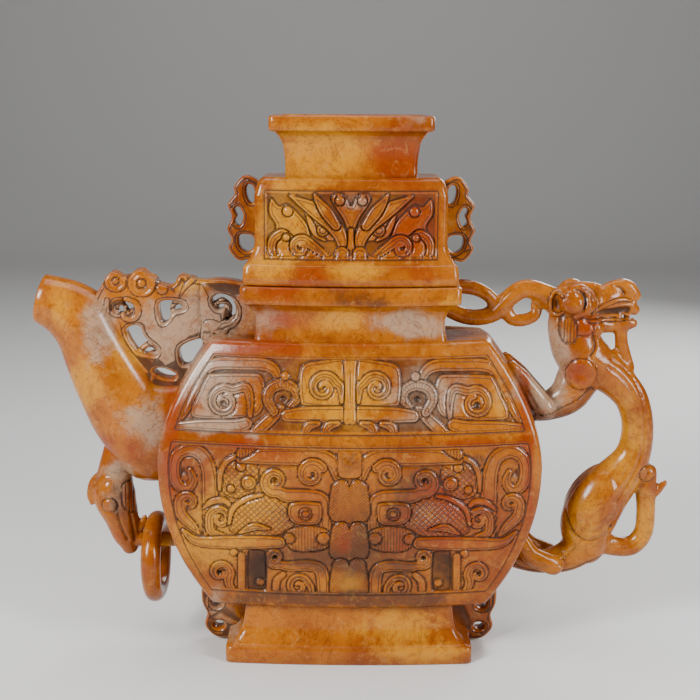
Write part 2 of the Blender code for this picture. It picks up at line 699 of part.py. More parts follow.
def carve_body(part, group):
    for side, word in ((-1, "front"), (1, "back")):
        plain = side > 0
        upper = (UPPER_PANEL_BOTTOM, UPPER_PANEL_TOP)
        lower = (LOWER_PANEL_BOTTOM, LOWER_PANEL_TOP)
        for panel, (low, high) in (("upper", upper), ("lower", lower)):
            name = word + " " + panel + " panel"
            cut(part, [panel_cutter(name, low, high, body_panel_width, body_face, group, side)])
        loops = lower_panel_loops(plain) + upper_panel_loops(plain) + nose_loops() + bridge_loops()
        join(part, [relief(word + " relief", loops, body_face, group, side)])
        if not plain:
            join(part, [balls(word + " beads", BODY_BALLS, body_face, group, side)])


def carve_lid(part, group):
    lift = LID_TOP - DRAWN_LID_TOP * MM
    for side, word in ((-1, "front"), (1, "back")):
        plain = side > 0
        low = LID_PANEL_BOTTOM + lift
        high = LID_PANEL_TOP + lift
        cut(part, [panel_cutter(word + " lid panel", low, high, lid_panel_width, lid_face, group, side)])
        join(part, [relief(word + " lid relief", raised_lid(lid_loops(plain)), lid_face, group, side)])
        if not plain:
            places = [(x, z + lift / MM, radius) for x, z, radius in LID_BALLS]
            join(part, [balls(word + " lid beads", places, lid_face, group, side)])


def dome_rings(grow=0.0):
    # The lid from its moulding to its top
    seat = NECK_HALF_WIDTH + COLLAR_REACH - LID_SEAT_INSET + grow
    seat_depth = NECK_HALF_DEPTH + COLLAR_FRONT_REACH - LID_SEAT_INSET + grow
    moulding = LID_BOTTOM + LID_MOULDING + grow
    rings = [ring_of(LID_BOTTOM - grow, seat, seat_depth, NECK_BOW)]
    rings.append(ring_of(moulding, seat - LID_EDGE, seat_depth - LID_EDGE, NECK_BOW))
    for rise, reach in LID_FOOT_COVE:
        width = blend(LID_HALF_WIDTH + grow, seat, reach)
        depth = blend(LID_HALF_DEPTH + grow, seat_depth, reach)
        rings.append(ring_of(moulding + rise * LID_COVE, width, depth, NECK_BOW))
    for drop, inset in LID_CROWN_CURVE:
        width = LID_HALF_WIDTH - inset * LID_TOP_INSET + grow
        depth = LID_HALF_DEPTH - inset * LID_TOP_INSET + grow
        rings.append(ring_of(LID_TOP - drop * LID_CROWN + grow, width, depth, NECK_BOW))
    return rings


def knob_ring(height, flare, inset=0.0):
    out = flare * KNOB_FLARE - inset
    return ring_of(height, KNOB_HALF_WIDTH + out, KNOB_HALF_DEPTH + out, KNOB_BOW)


def lid_hollow(group):
    rings = [mouth_ring(LID_BOTTOM - FLANGE_DEPTH - CUT_PAST, FLANGE_CLEARANCE + FLANGE_WALL)]
    rings.append(mouth_ring(LID_BOTTOM + LID_MOULDING, FLANGE_CLEARANCE + FLANGE_WALL))
    for height in (LID_BOTTOM + LID_MOULDING + 2 * CUT_PAST, LID_TOP - LID_WALL):
        rings.append(ring_of(height, LID_HALF_WIDTH - LID_WALL, LID_HALF_DEPTH - LID_WALL, NECK_BOW))
    return loft("lid hollow", rings, group)


def knob_hollow(group):
    rings = [knob_ring(KNOB_TOP - KNOB_HOLLOW, 0.0, KNOB_WALL)]
    rings.append(knob_ring(KNOB_TOP - KNOB_RIM, KNOB_HOLLOW_FLARE, KNOB_WALL))
    rings.append(knob_ring(KNOB_TOP + CUT_PAST, 1.0, KNOB_WALL))
    return loft("knob hollow", rings, group)


def material(name, colour, roughness):
    made = bpy.data.materials.new(name)
    made.use_nodes = True
    shader = made.node_tree.nodes["Principled BSDF"]
    shader.inputs["Base Color"].default_value = (*colour, 1)
    shader.inputs["Roughness"].default_value = roughness
    shader.inputs["Metallic"].default_value = 0
    return made


def finish(part, colour, roughness=0.25):
    # Faces that lie nearly in one plane are joined, and the material is set
    flat = part.modifiers.new("Join flat faces", "DECIMATE")
    flat.decimate_type = "DISSOLVE"
    flat.angle_limit = FLAT_ANGLE
    part.data.materials.clear()
    part.data.materials.append(material(part.name.replace("_", " ") + " jade", colour, roughness))


def build_vessel(parts, tools, hollow, bore):
    body = loft("body", lower_rings(), parts)
    cut(body, [hollow, bore])
    carve_body(body, tools)
    finish(body, (0.62, 0.33, 0.09))
    neck = loft("neck", neck_rings(BODY_TOP + PART_GAP), parts)
    cut(neck, [hollow])
    finish(neck, (0.55, 0.33, 0.14))


def build_foot_scrolls(parts, tools, clearance):
    for mirrored, name in ((False, "foot_scroll_left"), (True, "foot_scroll_right")):
        loops = [side_loop(FOOT_SCROLL, mirrored)]
        for x, z, half_width, half_height in FOOT_SCROLL_HOLES:
            loops.append(side_loop(ellipse(x, z, half_width, half_height, SCROLL_HOLE_COUNT), mirrored))
        scroll = plate(name, loops, SCROLL_HALF_THICKNESS, parts)
        cut(scroll, [clearance])
        finish(scroll, (0.58, 0.34, 0.14))


def build_spout(parts, tools, clearance, bore):
    spout = spout_solid("spout", parts)
    cut(spout, [clearance, bore])
    finish(spout, (0.66, 0.42, 0.14))
    spout_clearance = spout_solid("spout clearance", tools, PART_GAP)

    loops = [side_loop(points) for points in (STRUT_EDGE,) + STRUT_HOLES]
    strut = plate("scroll_strut", loops, STRUT_HALF_THICKNESS, parts)
    for i, (x, z, radius) in enumerate(STRUT_EYES):
        loop = ellipse(x * ACROSS, z * UP, radius * MM, radius * MM)
        join(strut, [plate("strut eye %d" % (i + 1), [loop], STRUT_HALF_THICKNESS + EYE_RISE, tools)])
    cut(strut, [clearance, spout_clearance])
    finish(strut, (0.55, 0.38, 0.18))

    bird = limb("bird", BIRD_HEAD, parts)
    drop = BAR_HEIGHT / UP
    bar_stations = [(x, drop, BAR_RADIUS / MM) for x in BAR_ENDS]
    bar = limb("bar", bar_stations, tools, steps=1, thickness=1.0)
    join(bird, [limb("bird crest", BIRD_CREST, tools), bar])
    cut(bird, [clearance, spout_clearance])
    finish(bird, (0.58, 0.30, 0.10))


def build_dragon(parts, tools, clearance):
    neck_height = DRAGON_NECK * UP
    body = limb("dragon_body", TRUNK, parts)
    cut(body, [beyond_neck("above the dragon's neck", neck_height, KNOB_TOP, tools)])
    join(body, [limb("foreleg", FORELEG, tools), limb("hind leg", HIND_LEG, tools)])
    join(body, pair("paw", PAW, PAW_OFFSET, tools) + pair("hind foot", HIND_FOOT, HIND_FOOT_OFFSET, tools))
    cut(body, [clearance])
    finish(body, (0.64, 0.34, 0.09))

    trunk_clearance = limb("trunk clearance", longer(TRUNK, 2 * TAIL_GAP / MM), tools, grow=TAIL_GAP)
    head = limb("dragon_head", TRUNK, parts)
    cut(head, [beyond_neck("below the dragon's neck", 0.0, neck_height + PART_GAP, tools)])
    beard = limb("beard", BEARD, tools)
    cut(beard, [trunk_clearance])
    join(head, [limb(name, stations, tools) for name, stations in HEAD.items()])
    join(head, pair("brow", BROW, BROW_OFFSET, tools) + [beard])
    cut(head, [clearance])
    finish(head, (0.66, 0.36, 0.09))

    tail = limb("dragon_tail", TAIL, parts)
    join(tail, [limb("tail tip", TAIL_TIP, tools)])
    cut(tail, [trunk_clearance, limb("hind leg clearance", HIND_LEG, tools, grow=TAIL_GAP)])
    finish(tail, (0.60, 0.30, 0.08))


def build_lid(parts, tools):
    flange = [mouth_ring(height, FLANGE_CLEARANCE) for height in (LID_BOTTOM - FLANGE_DEPTH, LID_BOTTOM)]
    lid = loft("lid", flange + dome_rings(), parts)
    cut(lid, [lid_hollow(tools)])
    carve_lid(lid, tools)
    finish(lid, (0.66, 0.31, 0.08))

    rings = [knob_ring(LID_TOP + PART_GAP, 0.0)]
    rings += [knob_ring(LID_TOP + rise * KNOB_HEIGHT, flare) for rise, flare in KNOB_CURVE]
    rings += [knob_ring(KNOB_TOP - drop, 1.0) for drop in (KNOB_RIM, LID_EDGE)]
    rings.append(knob_ring(KNOB_TOP, KNOB_EDGE_FLARE))
    knob = loft("lid_knob", rings, parts)
    cut(knob, [knob_hollow(tools)])
    finish(knob, (0.66, 0.35, 0.10))

    dome_clearance = loft("dome clearance", dome_rings(PART_GAP), tools)
    for side, name in ((-1, "lid_ear_left"), (1, "lid_ear_right")):
        loops = [ear_loop(points, side) for points in (LID_EAR,) + LID_EAR_HOLES]
        ear = plate(name, loops, EAR_HALF_THICKNESS, parts)
        cut(ear, [dome_clearance])
        finish(ear, (0.60, 0.30, 0.08))


def build_ring(parts):
    top = BAR_HEIGHT + BAR_RADIUS + RING_GAP + RING_TUBE
    shape = bmesh.new()
    rows = []
    for i in range(RING_SPAN_COUNT):
        angle = 2 * math.pi * i / RING_SPAN_COUNT
        row = []
        for k in range(RING_SIDE_COUNT):
            turn = 2 * math.pi * k / RING_SIDE_COUNT
            reach = RING_RADIUS + RING_TUBE * math.cos(turn)
            place = (RING_TUBE * math.sin(turn), reach * math.cos(angle), reach * math.sin(angle))
            row.append(shape.verts.new(place))
        rows.append(row)
    for row, after in zip(rows, rows[1:] + rows[:1]):
        for k in range(RING_SIDE_COUNT):
            n = (k + 1) % RING_SIDE_COUNT
            shape.faces.new((row[k], after[k], after[n], row[n]))
    ring = add_mesh("ring", mesh_from_bm("ring", shape), parts)
    ring.location = (RING_PLACE * ACROSS, 0, top - RING_RADIUS)
    finish(ring, (0.52, 0.24, 0.07), 0.28)


def main():
    clear_scene()
    parts = new_collection("jade wine pot")
    tools = new_collection("cutters")
    clearance = vessel_clearance(tools)
    bore = spout_bore(tools)
    build_vessel(parts, tools, cavity(tools), bore)
    build_foot_scrolls(parts, tools, clearance)
    build_spout(parts, tools, clearance, bore)
    build_dragon(parts, tools, clearance)
    build_lid(parts, tools)
    build_ring(parts)


main()
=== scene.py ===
import math
import bpy
import numpy as np
from mathutils import Matrix, Vector


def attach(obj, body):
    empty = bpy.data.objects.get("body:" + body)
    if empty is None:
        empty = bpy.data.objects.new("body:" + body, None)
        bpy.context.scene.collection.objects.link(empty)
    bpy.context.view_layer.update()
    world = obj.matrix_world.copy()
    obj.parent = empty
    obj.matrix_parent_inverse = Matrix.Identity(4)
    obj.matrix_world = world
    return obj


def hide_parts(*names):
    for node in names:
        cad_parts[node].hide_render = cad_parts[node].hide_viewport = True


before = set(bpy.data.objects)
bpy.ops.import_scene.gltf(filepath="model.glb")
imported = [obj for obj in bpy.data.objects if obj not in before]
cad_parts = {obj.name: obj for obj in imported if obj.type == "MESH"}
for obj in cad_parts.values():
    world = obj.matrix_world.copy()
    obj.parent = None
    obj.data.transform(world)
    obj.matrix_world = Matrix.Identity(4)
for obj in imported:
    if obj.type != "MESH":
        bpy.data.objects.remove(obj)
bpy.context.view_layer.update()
print("frame loaded with", len(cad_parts), "nodes")

# Everything below is worked out in millimetres and written to the meshes in metres.
# The photograph's camera, in pixels of a 700 x 700 picture and millimetres
photo = {"size": 700, "focal": 1150.0, "distance": 483.0, "pitch": 12.7, "roll": 0.33, "aim": 131.1,
         "middle": (350.4, 350.0), "sensor": 36.0, "pixel": 0.42}
pitchCos, pitchSin = math.cos(math.radians(photo["pitch"])), math.sin(math.radians(photo["pitch"]))
rollCos, rollSin = math.cos(math.radians(photo["roll"])), math.sin(math.radians(photo["roll"]))

# A distance greater than any; a spiral's least number of points and the degrees between two of them
farOff = 99.0
spiral = {"fewest": 8, "degrees": 30}
# The channels of carving at each vertex, and the options that a stroke may name
channels = ("height", "line", "hatch", "hair", "comb")
strokeOptions = ("top", "cut", "edge", "crown", "moat", "lined", "hatch", "hair")
# Cut lines: how far out they reach, the softest edge that
# has one, where a single line's distance stops, no line
incision = {"reach": 0.45, "softest": 3.3, "single": -0.6, "none": 5.0}
# A bead's and a hollow's own values; where grooves and turned-away skin run out; the line round a panel; the
# rounding of the plates' edges; the angles of the rings that close a limb
beadForm = {"top": 0.4, "cut": 0.9, "moat": 0.5}
holeForm = {"depth": 1.6, "edge": (-0.8, 0.8 * 0.4), "unlined": 0.3}
grooveEdge, facingEdge = (-0.3, 0.5), (0.15, 0.6)
frameLine = {"out": 0.5, "half": 0.8}
plateEdge = {"over": 1.5, "thin": 0.72, "rest": 0.28, "heights": (-1.2, 1.5)}
endBends = (80, 55, 30)
# Columns of the front, a side, the back and a corner on the uncarved parts
plainColumns = (50, 6, 36, 3)
noQuads, noFans = np.zeros((0, 4), int), np.zeros((0, 3), int)


def toPlane(px, py, y):
    # The point x, z where the ray of a pixel meets the upright plane at depth y
    dx, dy = px - photo["middle"][0], photo["middle"][1] - py
    across, up = dx * rollCos - dy * rollSin, (dx * rollSin + dy * rollCos) / photo["focal"]
    height = (up * (photo["distance"] + y * pitchCos) - y * pitchSin) / (pitchCos + up * pitchSin)
    away = photo["distance"] + y * pitchCos - height * pitchSin
    return across * away / photo["focal"], height + photo["aim"]


def toPixel(x, y, z):
    # The pixel in which a point shows, by the same formula turned round
    height = z - photo["aim"]
    away = photo["distance"] + y * pitchCos - height * pitchSin
    across = photo["focal"] * x / away
    up = photo["focal"] * (height * pitchCos + y * pitchSin) / away
    return (photo["middle"][0] + across * rollCos + up * rollSin,
            photo["middle"][1] + across * rollSin - up * rollCos)


def smoothLine(points, steps, closed=False):
    # A smooth curve through the points: half of 2b + (c-a)t
    # + (2a-5b+4c-d)t^2 + (3b-a-3c+d)t^3 between b and c
    p = np.asarray(points, float)
    if closed:
        pad = np.vstack([p[-1:], p, p[:2]])
        count = len(p)
    else:
        pad = np.vstack([2 * p[:1] - p[1:2], p, 2 * p[-1:] - p[-2:-1]])
        count = len(p) - 1
    a, b, c, d = (pad[i:count + i, None] for i in range(4))
    t = (np.arange(steps) / steps)[None, :, None]
    curve = 0.5 * (2 * b + (c - a) * t + (2 * a - 5 * b + 4 * c - d) * t ** 2
                   + (3 * b - a - 3 * c + d) * t ** 3).reshape(-1, p.shape[1])
    return curve if closed else np.vstack([curve, p[-1:]])


def curl(x, y, outer, inner, start, sweep, wide, narrow):
    # Pixels of a spiral from its outer end inwards: the
    # radius and the band's width shrink evenly with the angle
    share = np.linspace(0, 1, max(spiral["fewest"], int(abs(sweep) / spiral["degrees"])))
    angle = np.radians(start + sweep * share)
    radius = outer + (inner - outer) * share
    rows = [x + radius * np.cos(angle), y - radius * np.sin(angle), wide + (narrow - wide) * share]
    return [tuple(row) for row in np.stack(rows, 1)]


def smoothStep(low, high, value):
    # 3 t^2 - 2 t^3, with t the share of the way from low to high
    t = np.clip((value - low) / (high - low), 0, 1)
    return t * t * (3 - 2 * t)


def wayDistance(x, z, way):
    # Distance from each point to the edge of a band: to its nearest segment, less the half width there
    best = np.full(x.shape, farOff)
    along = np.zeros(x.shape)
    run = 0.0
    for (x0, z0, r0), (x1, z1, r1) in zip(way[:-1], way[1:]):
        dx, dz = x1 - x0, z1 - z0
        length = math.hypot(dx, dz)
        t = np.clip(((x - x0) * dx + (z - z0) * dz) / (length * length + 1e-9), 0, 1)
        gap = np.hypot(x - x0 - t * dx, z - z0 - t * dz) - (r0 + (r1 - r0) * t)
        nearer = gap < best
        best = np.where(nearer, gap, best)
        along = np.where(nearer, run + t * length, along)
        run += length
    return best, along


def loopDistance(x, z, loop):
    # Distance from each point to a closed outline, below nought inside it by the even-odd rule
    best = np.full(x.shape, farOff)
    inside = np.zeros(x.shape, bool)
    for (x0, z0), (x1, z1) in zip(loop, np.roll(loop, -1, axis=0)):
        dx, dz = x1 - x0, z1 - z0
        t = np.clip(((x - x0) * dx + (z - z0) * dz) / (dx * dx + dz * dz + 1e-9), 0, 1)
        best = np.minimum(best, np.hypot(x - x0 - t * dx, z - z0 - t * dz))
        crosses = (z0 > z) != (z1 > z)
        inside ^= crosses & (x < x0 + (z - z0) * dx / (dz if dz else 1e-9))
    return np.where(inside, -best, best)


def newSurface(x, z):
    # The carver's sheet: its height, the distance to the nearest cut line, and the masks for fine cutting
    sheet = {name: np.zeros(x.shape) for name in channels}
    sheet["line"] += incision["none"]
    return {"x": x, "z": z, **sheet}


def carve(sheet, gap, along=None, top=0.0, cut=1.2, edge=0.9, crown=0.0, moat=0.7, lined=False, hatch=0.0,
          hair=0.0, within=True):
    # Inside the outline the height is low + (top - low) sqrt(1 - (1 - s)^2), with s the distance over the
    # edge, and a crown on top; outside, what was there sinks to low across the moat. The line channel
    # takes the distance to the outline, which goes on inwards to a second cut if the stroke is lined
    low = min(-cut, top - 0.3)
    near = (gap < moat) & within
    g = gap[near]
    inner = np.clip(-g / edge, 0, 1)
    rise = low + (top - low) * np.sqrt(1 - (1 - inner) ** 2) + crown * smoothStep(0, 6 * edge, -g)
    before = sheet["height"][near]
    outer = np.minimum(before, low + (before - low) * smoothStep(0, moat, g))
    sheet["height"][near] = np.where(g < 0, rise, outer)
    body = near & (gap < incision["reach"])
    if edge < incision["softest"]:
        sheet["line"][body] = gap[body] if lined else np.maximum(gap[body], incision["single"])
    sheet["hatch"][body] = hatch
    sheet["hair"][body] = hair
    if along is not None:
        sheet["comb"][body] = along[body]


def dent(sheet, gap, depth, within):
    # A hollow: the height sinks by the depth inside the outline and runs out over the soft edge
    share = (1 - smoothStep(*holeForm["edge"], gap)) * within
    sheet["height"] -= depth * share
    sheet["line"][share > holeForm["unlined"]] = incision["none"]


def drawn(points, placer, steps=5, closed=False):
    # Pixels (and widths) smoothed to a curve and laid on the stone in millimetres
    curve = smoothLine(points, steps, closed) if len(points) > 2 else np.asarray(points, float)
    x, z = placer(curve[:, 0], curve[:, 1])
    if curve.shape[1] > 2:
        return np.stack([x, z, 0.5 * photo["pixel"] * curve[:, 2]], 1)
    return np.stack([x, z], 1)


def carveAll(sheet, strokes, placer, plain=False, within=True):
    # Each stroke in turn over the ones before it: a way with widths, an outline, a bead or a hollow
    x, z = sheet["x"], sheet["z"]
    for stroke in strokes.values():
        if plain and not stroke.get("main"):
            continue
        options = {key: stroke[key] for key in strokeOptions if key in stroke}
        if "bead" in stroke or "hole" in stroke:
            px, py, *size = stroke.get("bead") or stroke["hole"]
            cx, cz = placer(np.array([px], float), np.array([py], float))
            size = [photo["pixel"] * value for value in size]
        if "bead" in stroke:
            options = {**beadForm, "edge": size[0], **options}
            carve(sheet, np.hypot(x - cx, z - cz) - size[0], within=within, **options)
        elif "hole" in stroke:
            gap = (np.hypot((x - cx) / size[0], (z - cz) / size[1]) - 1) * min(size)
            dent(sheet, gap, stroke.get("depth", holeForm["depth"]), within)
        elif "outline" in stroke:
            gap = loopDistance(x, z, drawn(stroke["outline"], placer, 4, True))
            carve(sheet, gap, z - x if stroke.get("slanted") else x, within=within, **options)
        else:
            gap, along = wayDistance(x, z, drawn(stroke["way"], placer))
            if stroke.get("groove"):
                sheet["height"] -= stroke["groove"] * (1 - smoothStep(*grooveEdge, gap)) * within
            else:
                carve(sheet, gap, along, within=within, **options)


# The vessel's form, as in the source: half width, half depth at the corners and bow at a height
body = {"bottom": 25.0, "widest": 86.0, "top": 138.5, "atBottom": (58.0, 19.0, 4.7),
        "atWidest": (79.0, 23.0, 9.0), "atTop": (56.5, 14.0, 7.6), "powers": (1.8, 2.1), "edge": 1.2,
        "sideBow": 1.5, "corner": 2.6, "wall": 5.0, "frame": 5.5, "upperPanel": (103.5, 132.8),
        "lowerPanel": (32.5, 97.3), "upperFloor": 0.8, "lowerFloor": 0.55, "columns": (226, 8, 78, 3),
        "underside": (25.0, 57.2, 18.2, 4.7),
        "rows": ((25.8, 31.6, 6), (32.2, 97.6, 117), (98.6, 102.6, 4), (103.2, 133.2, 54)), "shoulder": 134.4,
        "rim": ((138.15, 0.35), (138.5, 1.2), (138.5, 2.4)), "mouthRows": (138.5, 133.5),
        "cavityRows": (133.3, 120, 105, 90, 75, 60, 45, 31)}
neck = {"halfWidth": 38.5, "halfDepth": 14.5, "bow": 4.0, "height": 15.5, "collar": 7.0, "reach": 6.0,
        "frontReach": 4.8, "foot": 137.6, "corner": 2.5, "coveReach": 0.965,
        "rimReach": (0.99, 1.0, 1.0, 0.95, 0.83, 0.6), "mouthInset": (-0.6, 0.0, 0.0, 0.0)}
neckCove = ((0.0, 0.17), (0.25, 0.02), (0.55, 0.0), (0.8, 0.25), (0.95, 0.7), (1.0, 1.0))
foot = {"halfWidth": 52.3, "halfDepth": 24.0, "band": 7.5, "waist": 44.0, "waistDepth": 18.0, "bow": 2.0,
        "corner": 2.5, "bandInset": (6.0, 0.5, 0.0, 0.0, 0.3, 0.9)}
footCove = ((0.05, 0.62), (0.28, 0.25), (0.6, 0.08), (1.0, 0.0), (1.12, 0.0))
settleRounds = 14


def bodySize(z):
    # widest + (end - widest) s^p, with s the share of the way up to the shoulder or down to the bottom
    z = np.asarray(z, float)
    upper = np.clip((z - body["widest"]) / (body["top"] - body["widest"]), 0, 1) ** body["powers"][0]
    lower = np.clip((body["widest"] - z) / (body["widest"] - body["bottom"]), 0, 1) ** body["powers"][1]
    return [w + (t - w) * upper + (b - w) * lower
            for w, t, b in zip(body["atWidest"], body["atTop"], body["atBottom"])]


def bodyFace(x, z):
    # half depth + bow (1 - (x / half width)^2)
    width, depth, bow = bodySize(z)
    return depth + bow * (1 - (x / width) ** 2)


def faceOf(formula):
    # A pixel laid on a bowed face: the depth is put back into the ray's formula until it settles
    def place(px, py):
        y = -formula(0.0, photo["aim"]) + 0 * px
        for _ in range(settleRounds):
            x, z = toPlane(px, py, y)
            y = -formula(x, z)
        return x, z
    return place


def planeAt(depth):
    # A pixel laid on the upright plane at a depth
    return lambda px, py: toPlane(px, py, depth)


def sectionRows(z, width, depth, bow, sideBow, corner, columns):
    # A flattened section for each height: bowed front, round corner, side, corner, back, corner, side, corner
    z = np.atleast_1d(z).astype(float)[:, None]
    width, depth, bow = (np.atleast_1d(v).astype(float)[:, None] + 0 * z for v in (width, depth, bow))
    front, side, back, turn = columns
    edge = width - corner
    edgeY = depth + bow * (1 - (edge / width) ** 2)
    flank = np.maximum(edgeY - corner, 0.2)

    def face(count, sign):
        u = np.linspace(-1, 1, count + 1)[None]
        x = edge * u
        return sign * x, -sign * (depth + bow * (1 - (x / width) ** 2))

    def bend(sign):
        angle = np.linspace(0, math.pi / 2, turn + 2)[None, 1:-1]
        return sign * (edge + corner * np.sin(angle)), -sign * (flank + (edgeY - flank) * np.cos(angle))

    def flankSide(sign):
        v = np.linspace(-1, 1, side + 1)[None]
        return sign * (width + sideBow * (1 - v ** 2)), sign * flank * v

    def bendBack(sign):
        x, y = bend(sign)
        return x[:, ::-1], -y[:, ::-1]

    parts = [face(front, 1), bend(1), flankSide(1), bendBack(1), face(back, -1), bend(-1), flankSide(-1),
             bendBack(-1)]
    x = np.hstack([p[0] for p in parts])
    y = np.hstack([p[1] for p in parts])
    return x, y, z + 0 * x


def gridFaces(rows, columns, poles, closedRows):
    # Quads between neighbouring rows, each row closed on itself, and fans to the poles
    c = np.arange(columns)
    n = (c + 1) % columns
    r = np.arange(rows if closedRows else rows - 1)[:, None]
    up = (r + 1) % rows
    quads = np.stack([r * columns + c, r * columns + n, up * columns + n, up * columns + c],
                     -1).reshape(-1, 4)
    fans = [noFans]
    if poles[0] is not None:
        fans.append(np.stack([n, c, 0 * c + poles[0]], 1))
    if poles[1] is not None:
        top = (rows - 1) * columns
        fans.append(np.stack([c + top, n + top, 0 * c + poles[1]], 1))
    return quads, np.vstack(fans)


def shell(points, quads, fans, sheet=None):
    # One closed surface with its carving channels; the poles, which no sheet has, stay uncut
    data = newSurface(points[:, 0], points[:, 2])
    if sheet:
        for name in channels:
            data[name][:np.size(sheet[name])] = np.ravel(sheet[name])
    return {**data, "points": points, "quads": quads, "fans": fans}


def gridShell(x, y, z, poleLow=None, poleHigh=None, closedRows=False, sheet=None):
    # Rows of points as one surface, closed at either end by a pole or into a ring
    points = np.stack([x, y, z], -1).reshape(-1, 3)
    poles = []
    for pole in (poleLow, poleHigh):
        poles.append(None if pole is None else len(points))
        if pole is not None:
            points = np.vstack([points, np.array([pole], float)])
    return shell(points, *gridFaces(*x.shape, poles, closedRows), sheet)


def joined(shells):
    # The shells side by side in one mesh
    at, quads, fans = 0, [], []
    for item in shells:
        quads.append(item["quads"] + at)
        fans.append(item["fans"] + at)
        at += len(item["points"])
    whole = {name: np.concatenate([s[name] for s in shells]) for name in channels}
    whole.update(points=np.vstack([s["points"] for s in shells]), quads=np.vstack(quads),
                 fans=np.vstack(fans))
    return whole


def buildMesh(name, quads, fans, points):
    # Millimetres go in as metres, and the loops and faces as whole arrays
    mesh = bpy.data.meshes.new(name)
    mesh.vertices.add(len(points))
    mesh.vertices.foreach_set("co", (points * 0.001).astype(np.float32).ravel())
    loops = np.concatenate([quads.ravel(), fans.ravel()]).astype(np.int32)
    sizes = np.concatenate([np.full(len(quads), 4), np.full(len(fans), 3)]).astype(np.int32)
    mesh.loops.add(len(loops))
    mesh.loops.foreach_set("vertex_index", loops)
    mesh.polygons.add(len(sizes))
    mesh.polygons.foreach_set("loop_start", np.concatenate([[0], np.cumsum(sizes)[:-1]]).astype(np.int32))
    mesh.polygons.foreach_set("loop_total", sizes)
    mesh.update(calc_edges=True)
    mesh.validate()
    mesh.polygons.foreach_set("use_smooth", np.ones(len(sizes), bool))
    return mesh


# Stains in the stone: pixel, half width, half height, strength
stainForm = {"gain": 1.2, "most": 1.3}
stains = {
    "russet": [(108, 442, 12, 12, .9), (133, 452, 10, 14, .8), (150, 378, 18, 8, .6), (58, 335, 14, 14, .35),
               (172, 420, 7, 50, 1.), (170, 480, 6, 30, .7), (245, 346, 40, 9, 1.), (290, 348, 16, 8, .7),
               (243, 443, 18, 6, 1.), (470, 443, 56, 6, .8), (524, 400, 9, 60, .8), (530, 480, 6, 46, .8),
               (276, 456, 36, 12, .55), (305, 490, 34, 12, .5), (344, 540, 10, 18, .7),
               (460, 500, 40, 30, .8), (420, 540, 60, 30, .5), (480, 560, 30, 26, .45), (250, 655, 32, 9, .9),
               (275, 292, 30, 9, .9), (285, 318, 26, 12, .7), (394, 158, 27, 24, 1.1), (380, 125, 26, 6, .5),
               (418, 215, 22, 34, .9), (400, 240, 40, 24, .6),
               (310, 275, 22, 10, .9), (428, 276, 36, 9, .7), (580, 373, 16, 15, .8), (583, 327, 15, 12, .9),
               (560, 430, 12, 10, .3), (128, 500, 10, 16, .6), (118, 535, 10, 12, .5), (600, 560, 22, 14, .4),
               (96, 290, 22, 8, .3), (610, 500, 22, 16, .3), (204, 620, 10, 10, .5), (360, 345, 30, 6, .5)],
    "pale": [(100, 318, 22, 26, .75), (98, 350, 18, 22, .6), (130, 415, 20, 24, .6), (152, 425, 14, 32, .6),
             (120, 470, 14, 8, .9), (118, 495, 18, 22, .6), (210, 320, 44, 30, .85), (150, 315, 30, 26, .45),
             (165, 355, 22, 20, .7), (215, 380, 40, 22, .75), (215, 425, 40, 9, .8), (222, 402, 16, 14, .8),
             (275, 318, 16, 12, .6), (400, 322, 34, 14, .95), (425, 330, 26, 10, .6), (430, 392, 44, 30, .7),
             (405, 425, 46, 10, .5), (252, 438, 8, 5, .8), (555, 345, 18, 30, .8), (548, 395, 26, 26, .85),
             (500, 395, 10, 14, .3), (355, 205, 20, 10, .3), (420, 122, 14, 6, .5), (195, 455, 16, 10, .35),
             (235, 625, 14, 26, .6), (215, 600, 10, 22, .5), (524, 385, 14, 20, .6), (255, 528, 8, 5, .4)],
    "smoke": [(350, 525, 150, 60, .28), (96, 335, 14, 26, .35), (118, 402, 12, 16, .3),
              (235, 335, 22, 16, .5), (310, 560, 40, 14, .7),
              (360, 545, 14, 20, .55), (300, 598, 70, 9, .8), (400, 600, 70, 8, .7), (430, 500, 50, 44, .5),
              (395, 560, 40, 26, .5), (350, 300, 34, 9, .6), (112, 492, 14, 22, .4), (450, 345, 34, 9, .4),
              (480, 460, 26, 16, .4), (345, 460, 20, 16, .5), (125, 520, 14, 20, .35), (440, 420, 30, 8, .4),
              (610, 400, 20, 22, .25), (258, 572, 14, 20, .6), (388, 300, 26, 8, .5), (240, 620, 26, 22, .3)],
    "yellow": [(128, 350, 16, 26, .9), (85, 385, 18, 26, .9), (60, 305, 14, 30, .6), (340, 395, 50, 34, .9),
               (340, 320, 24, 14, .8), (268, 268, 24, 12, .8), (355, 272, 30, 9, .9), (290, 215, 34, 36, .8),
               (320, 150, 44, 30, .9), (250, 500, 50, 50, .65), (205, 540, 26, 30, .8),
               (350, 585, 16, 16, .5), (500, 400, 14, 20, .5), (620, 440, 26, 40, .7), (575, 520, 30, 40, .6),
               (430, 655, 44, 9, .9), (400, 625, 44, 22, .6), (190, 285, 22, 12, .6), (645, 520, 16, 36, .7),
               (450, 300, 12, 9, .8)],
}


def stain(whole):
    # exp(-(dx/w)^2 - (dy/h)^2) about each stain's middle, in
    # the photograph's own pixels; the back has the same stone
    x, y, z = whole["points"].T
    px, py = toPixel(x, -np.abs(y), z)
    for kind, places in stains.items():
        total = np.zeros(len(x))
        for cx, cy, wide, tall, strength in places:
            total += strength * np.exp(-((px - cx) / wide) ** 2 - ((py - cy) / tall) ** 2)
        whole[kind] = np.clip(stainForm["gain"] * total, 0, stainForm["most"])


def placed(name, data):
    # An object for the data, in the scene
    item = bpy.data.objects.new(name, data)
    bpy.context.scene.collection.objects.link(item)
    return item


def writeValues(mesh, names, values):
    # One number a vertex under each name
    for name in names:
        mesh.attributes.new(name, "FLOAT", "POINT").data.foreach_set("value", values[name].astype(np.float32))


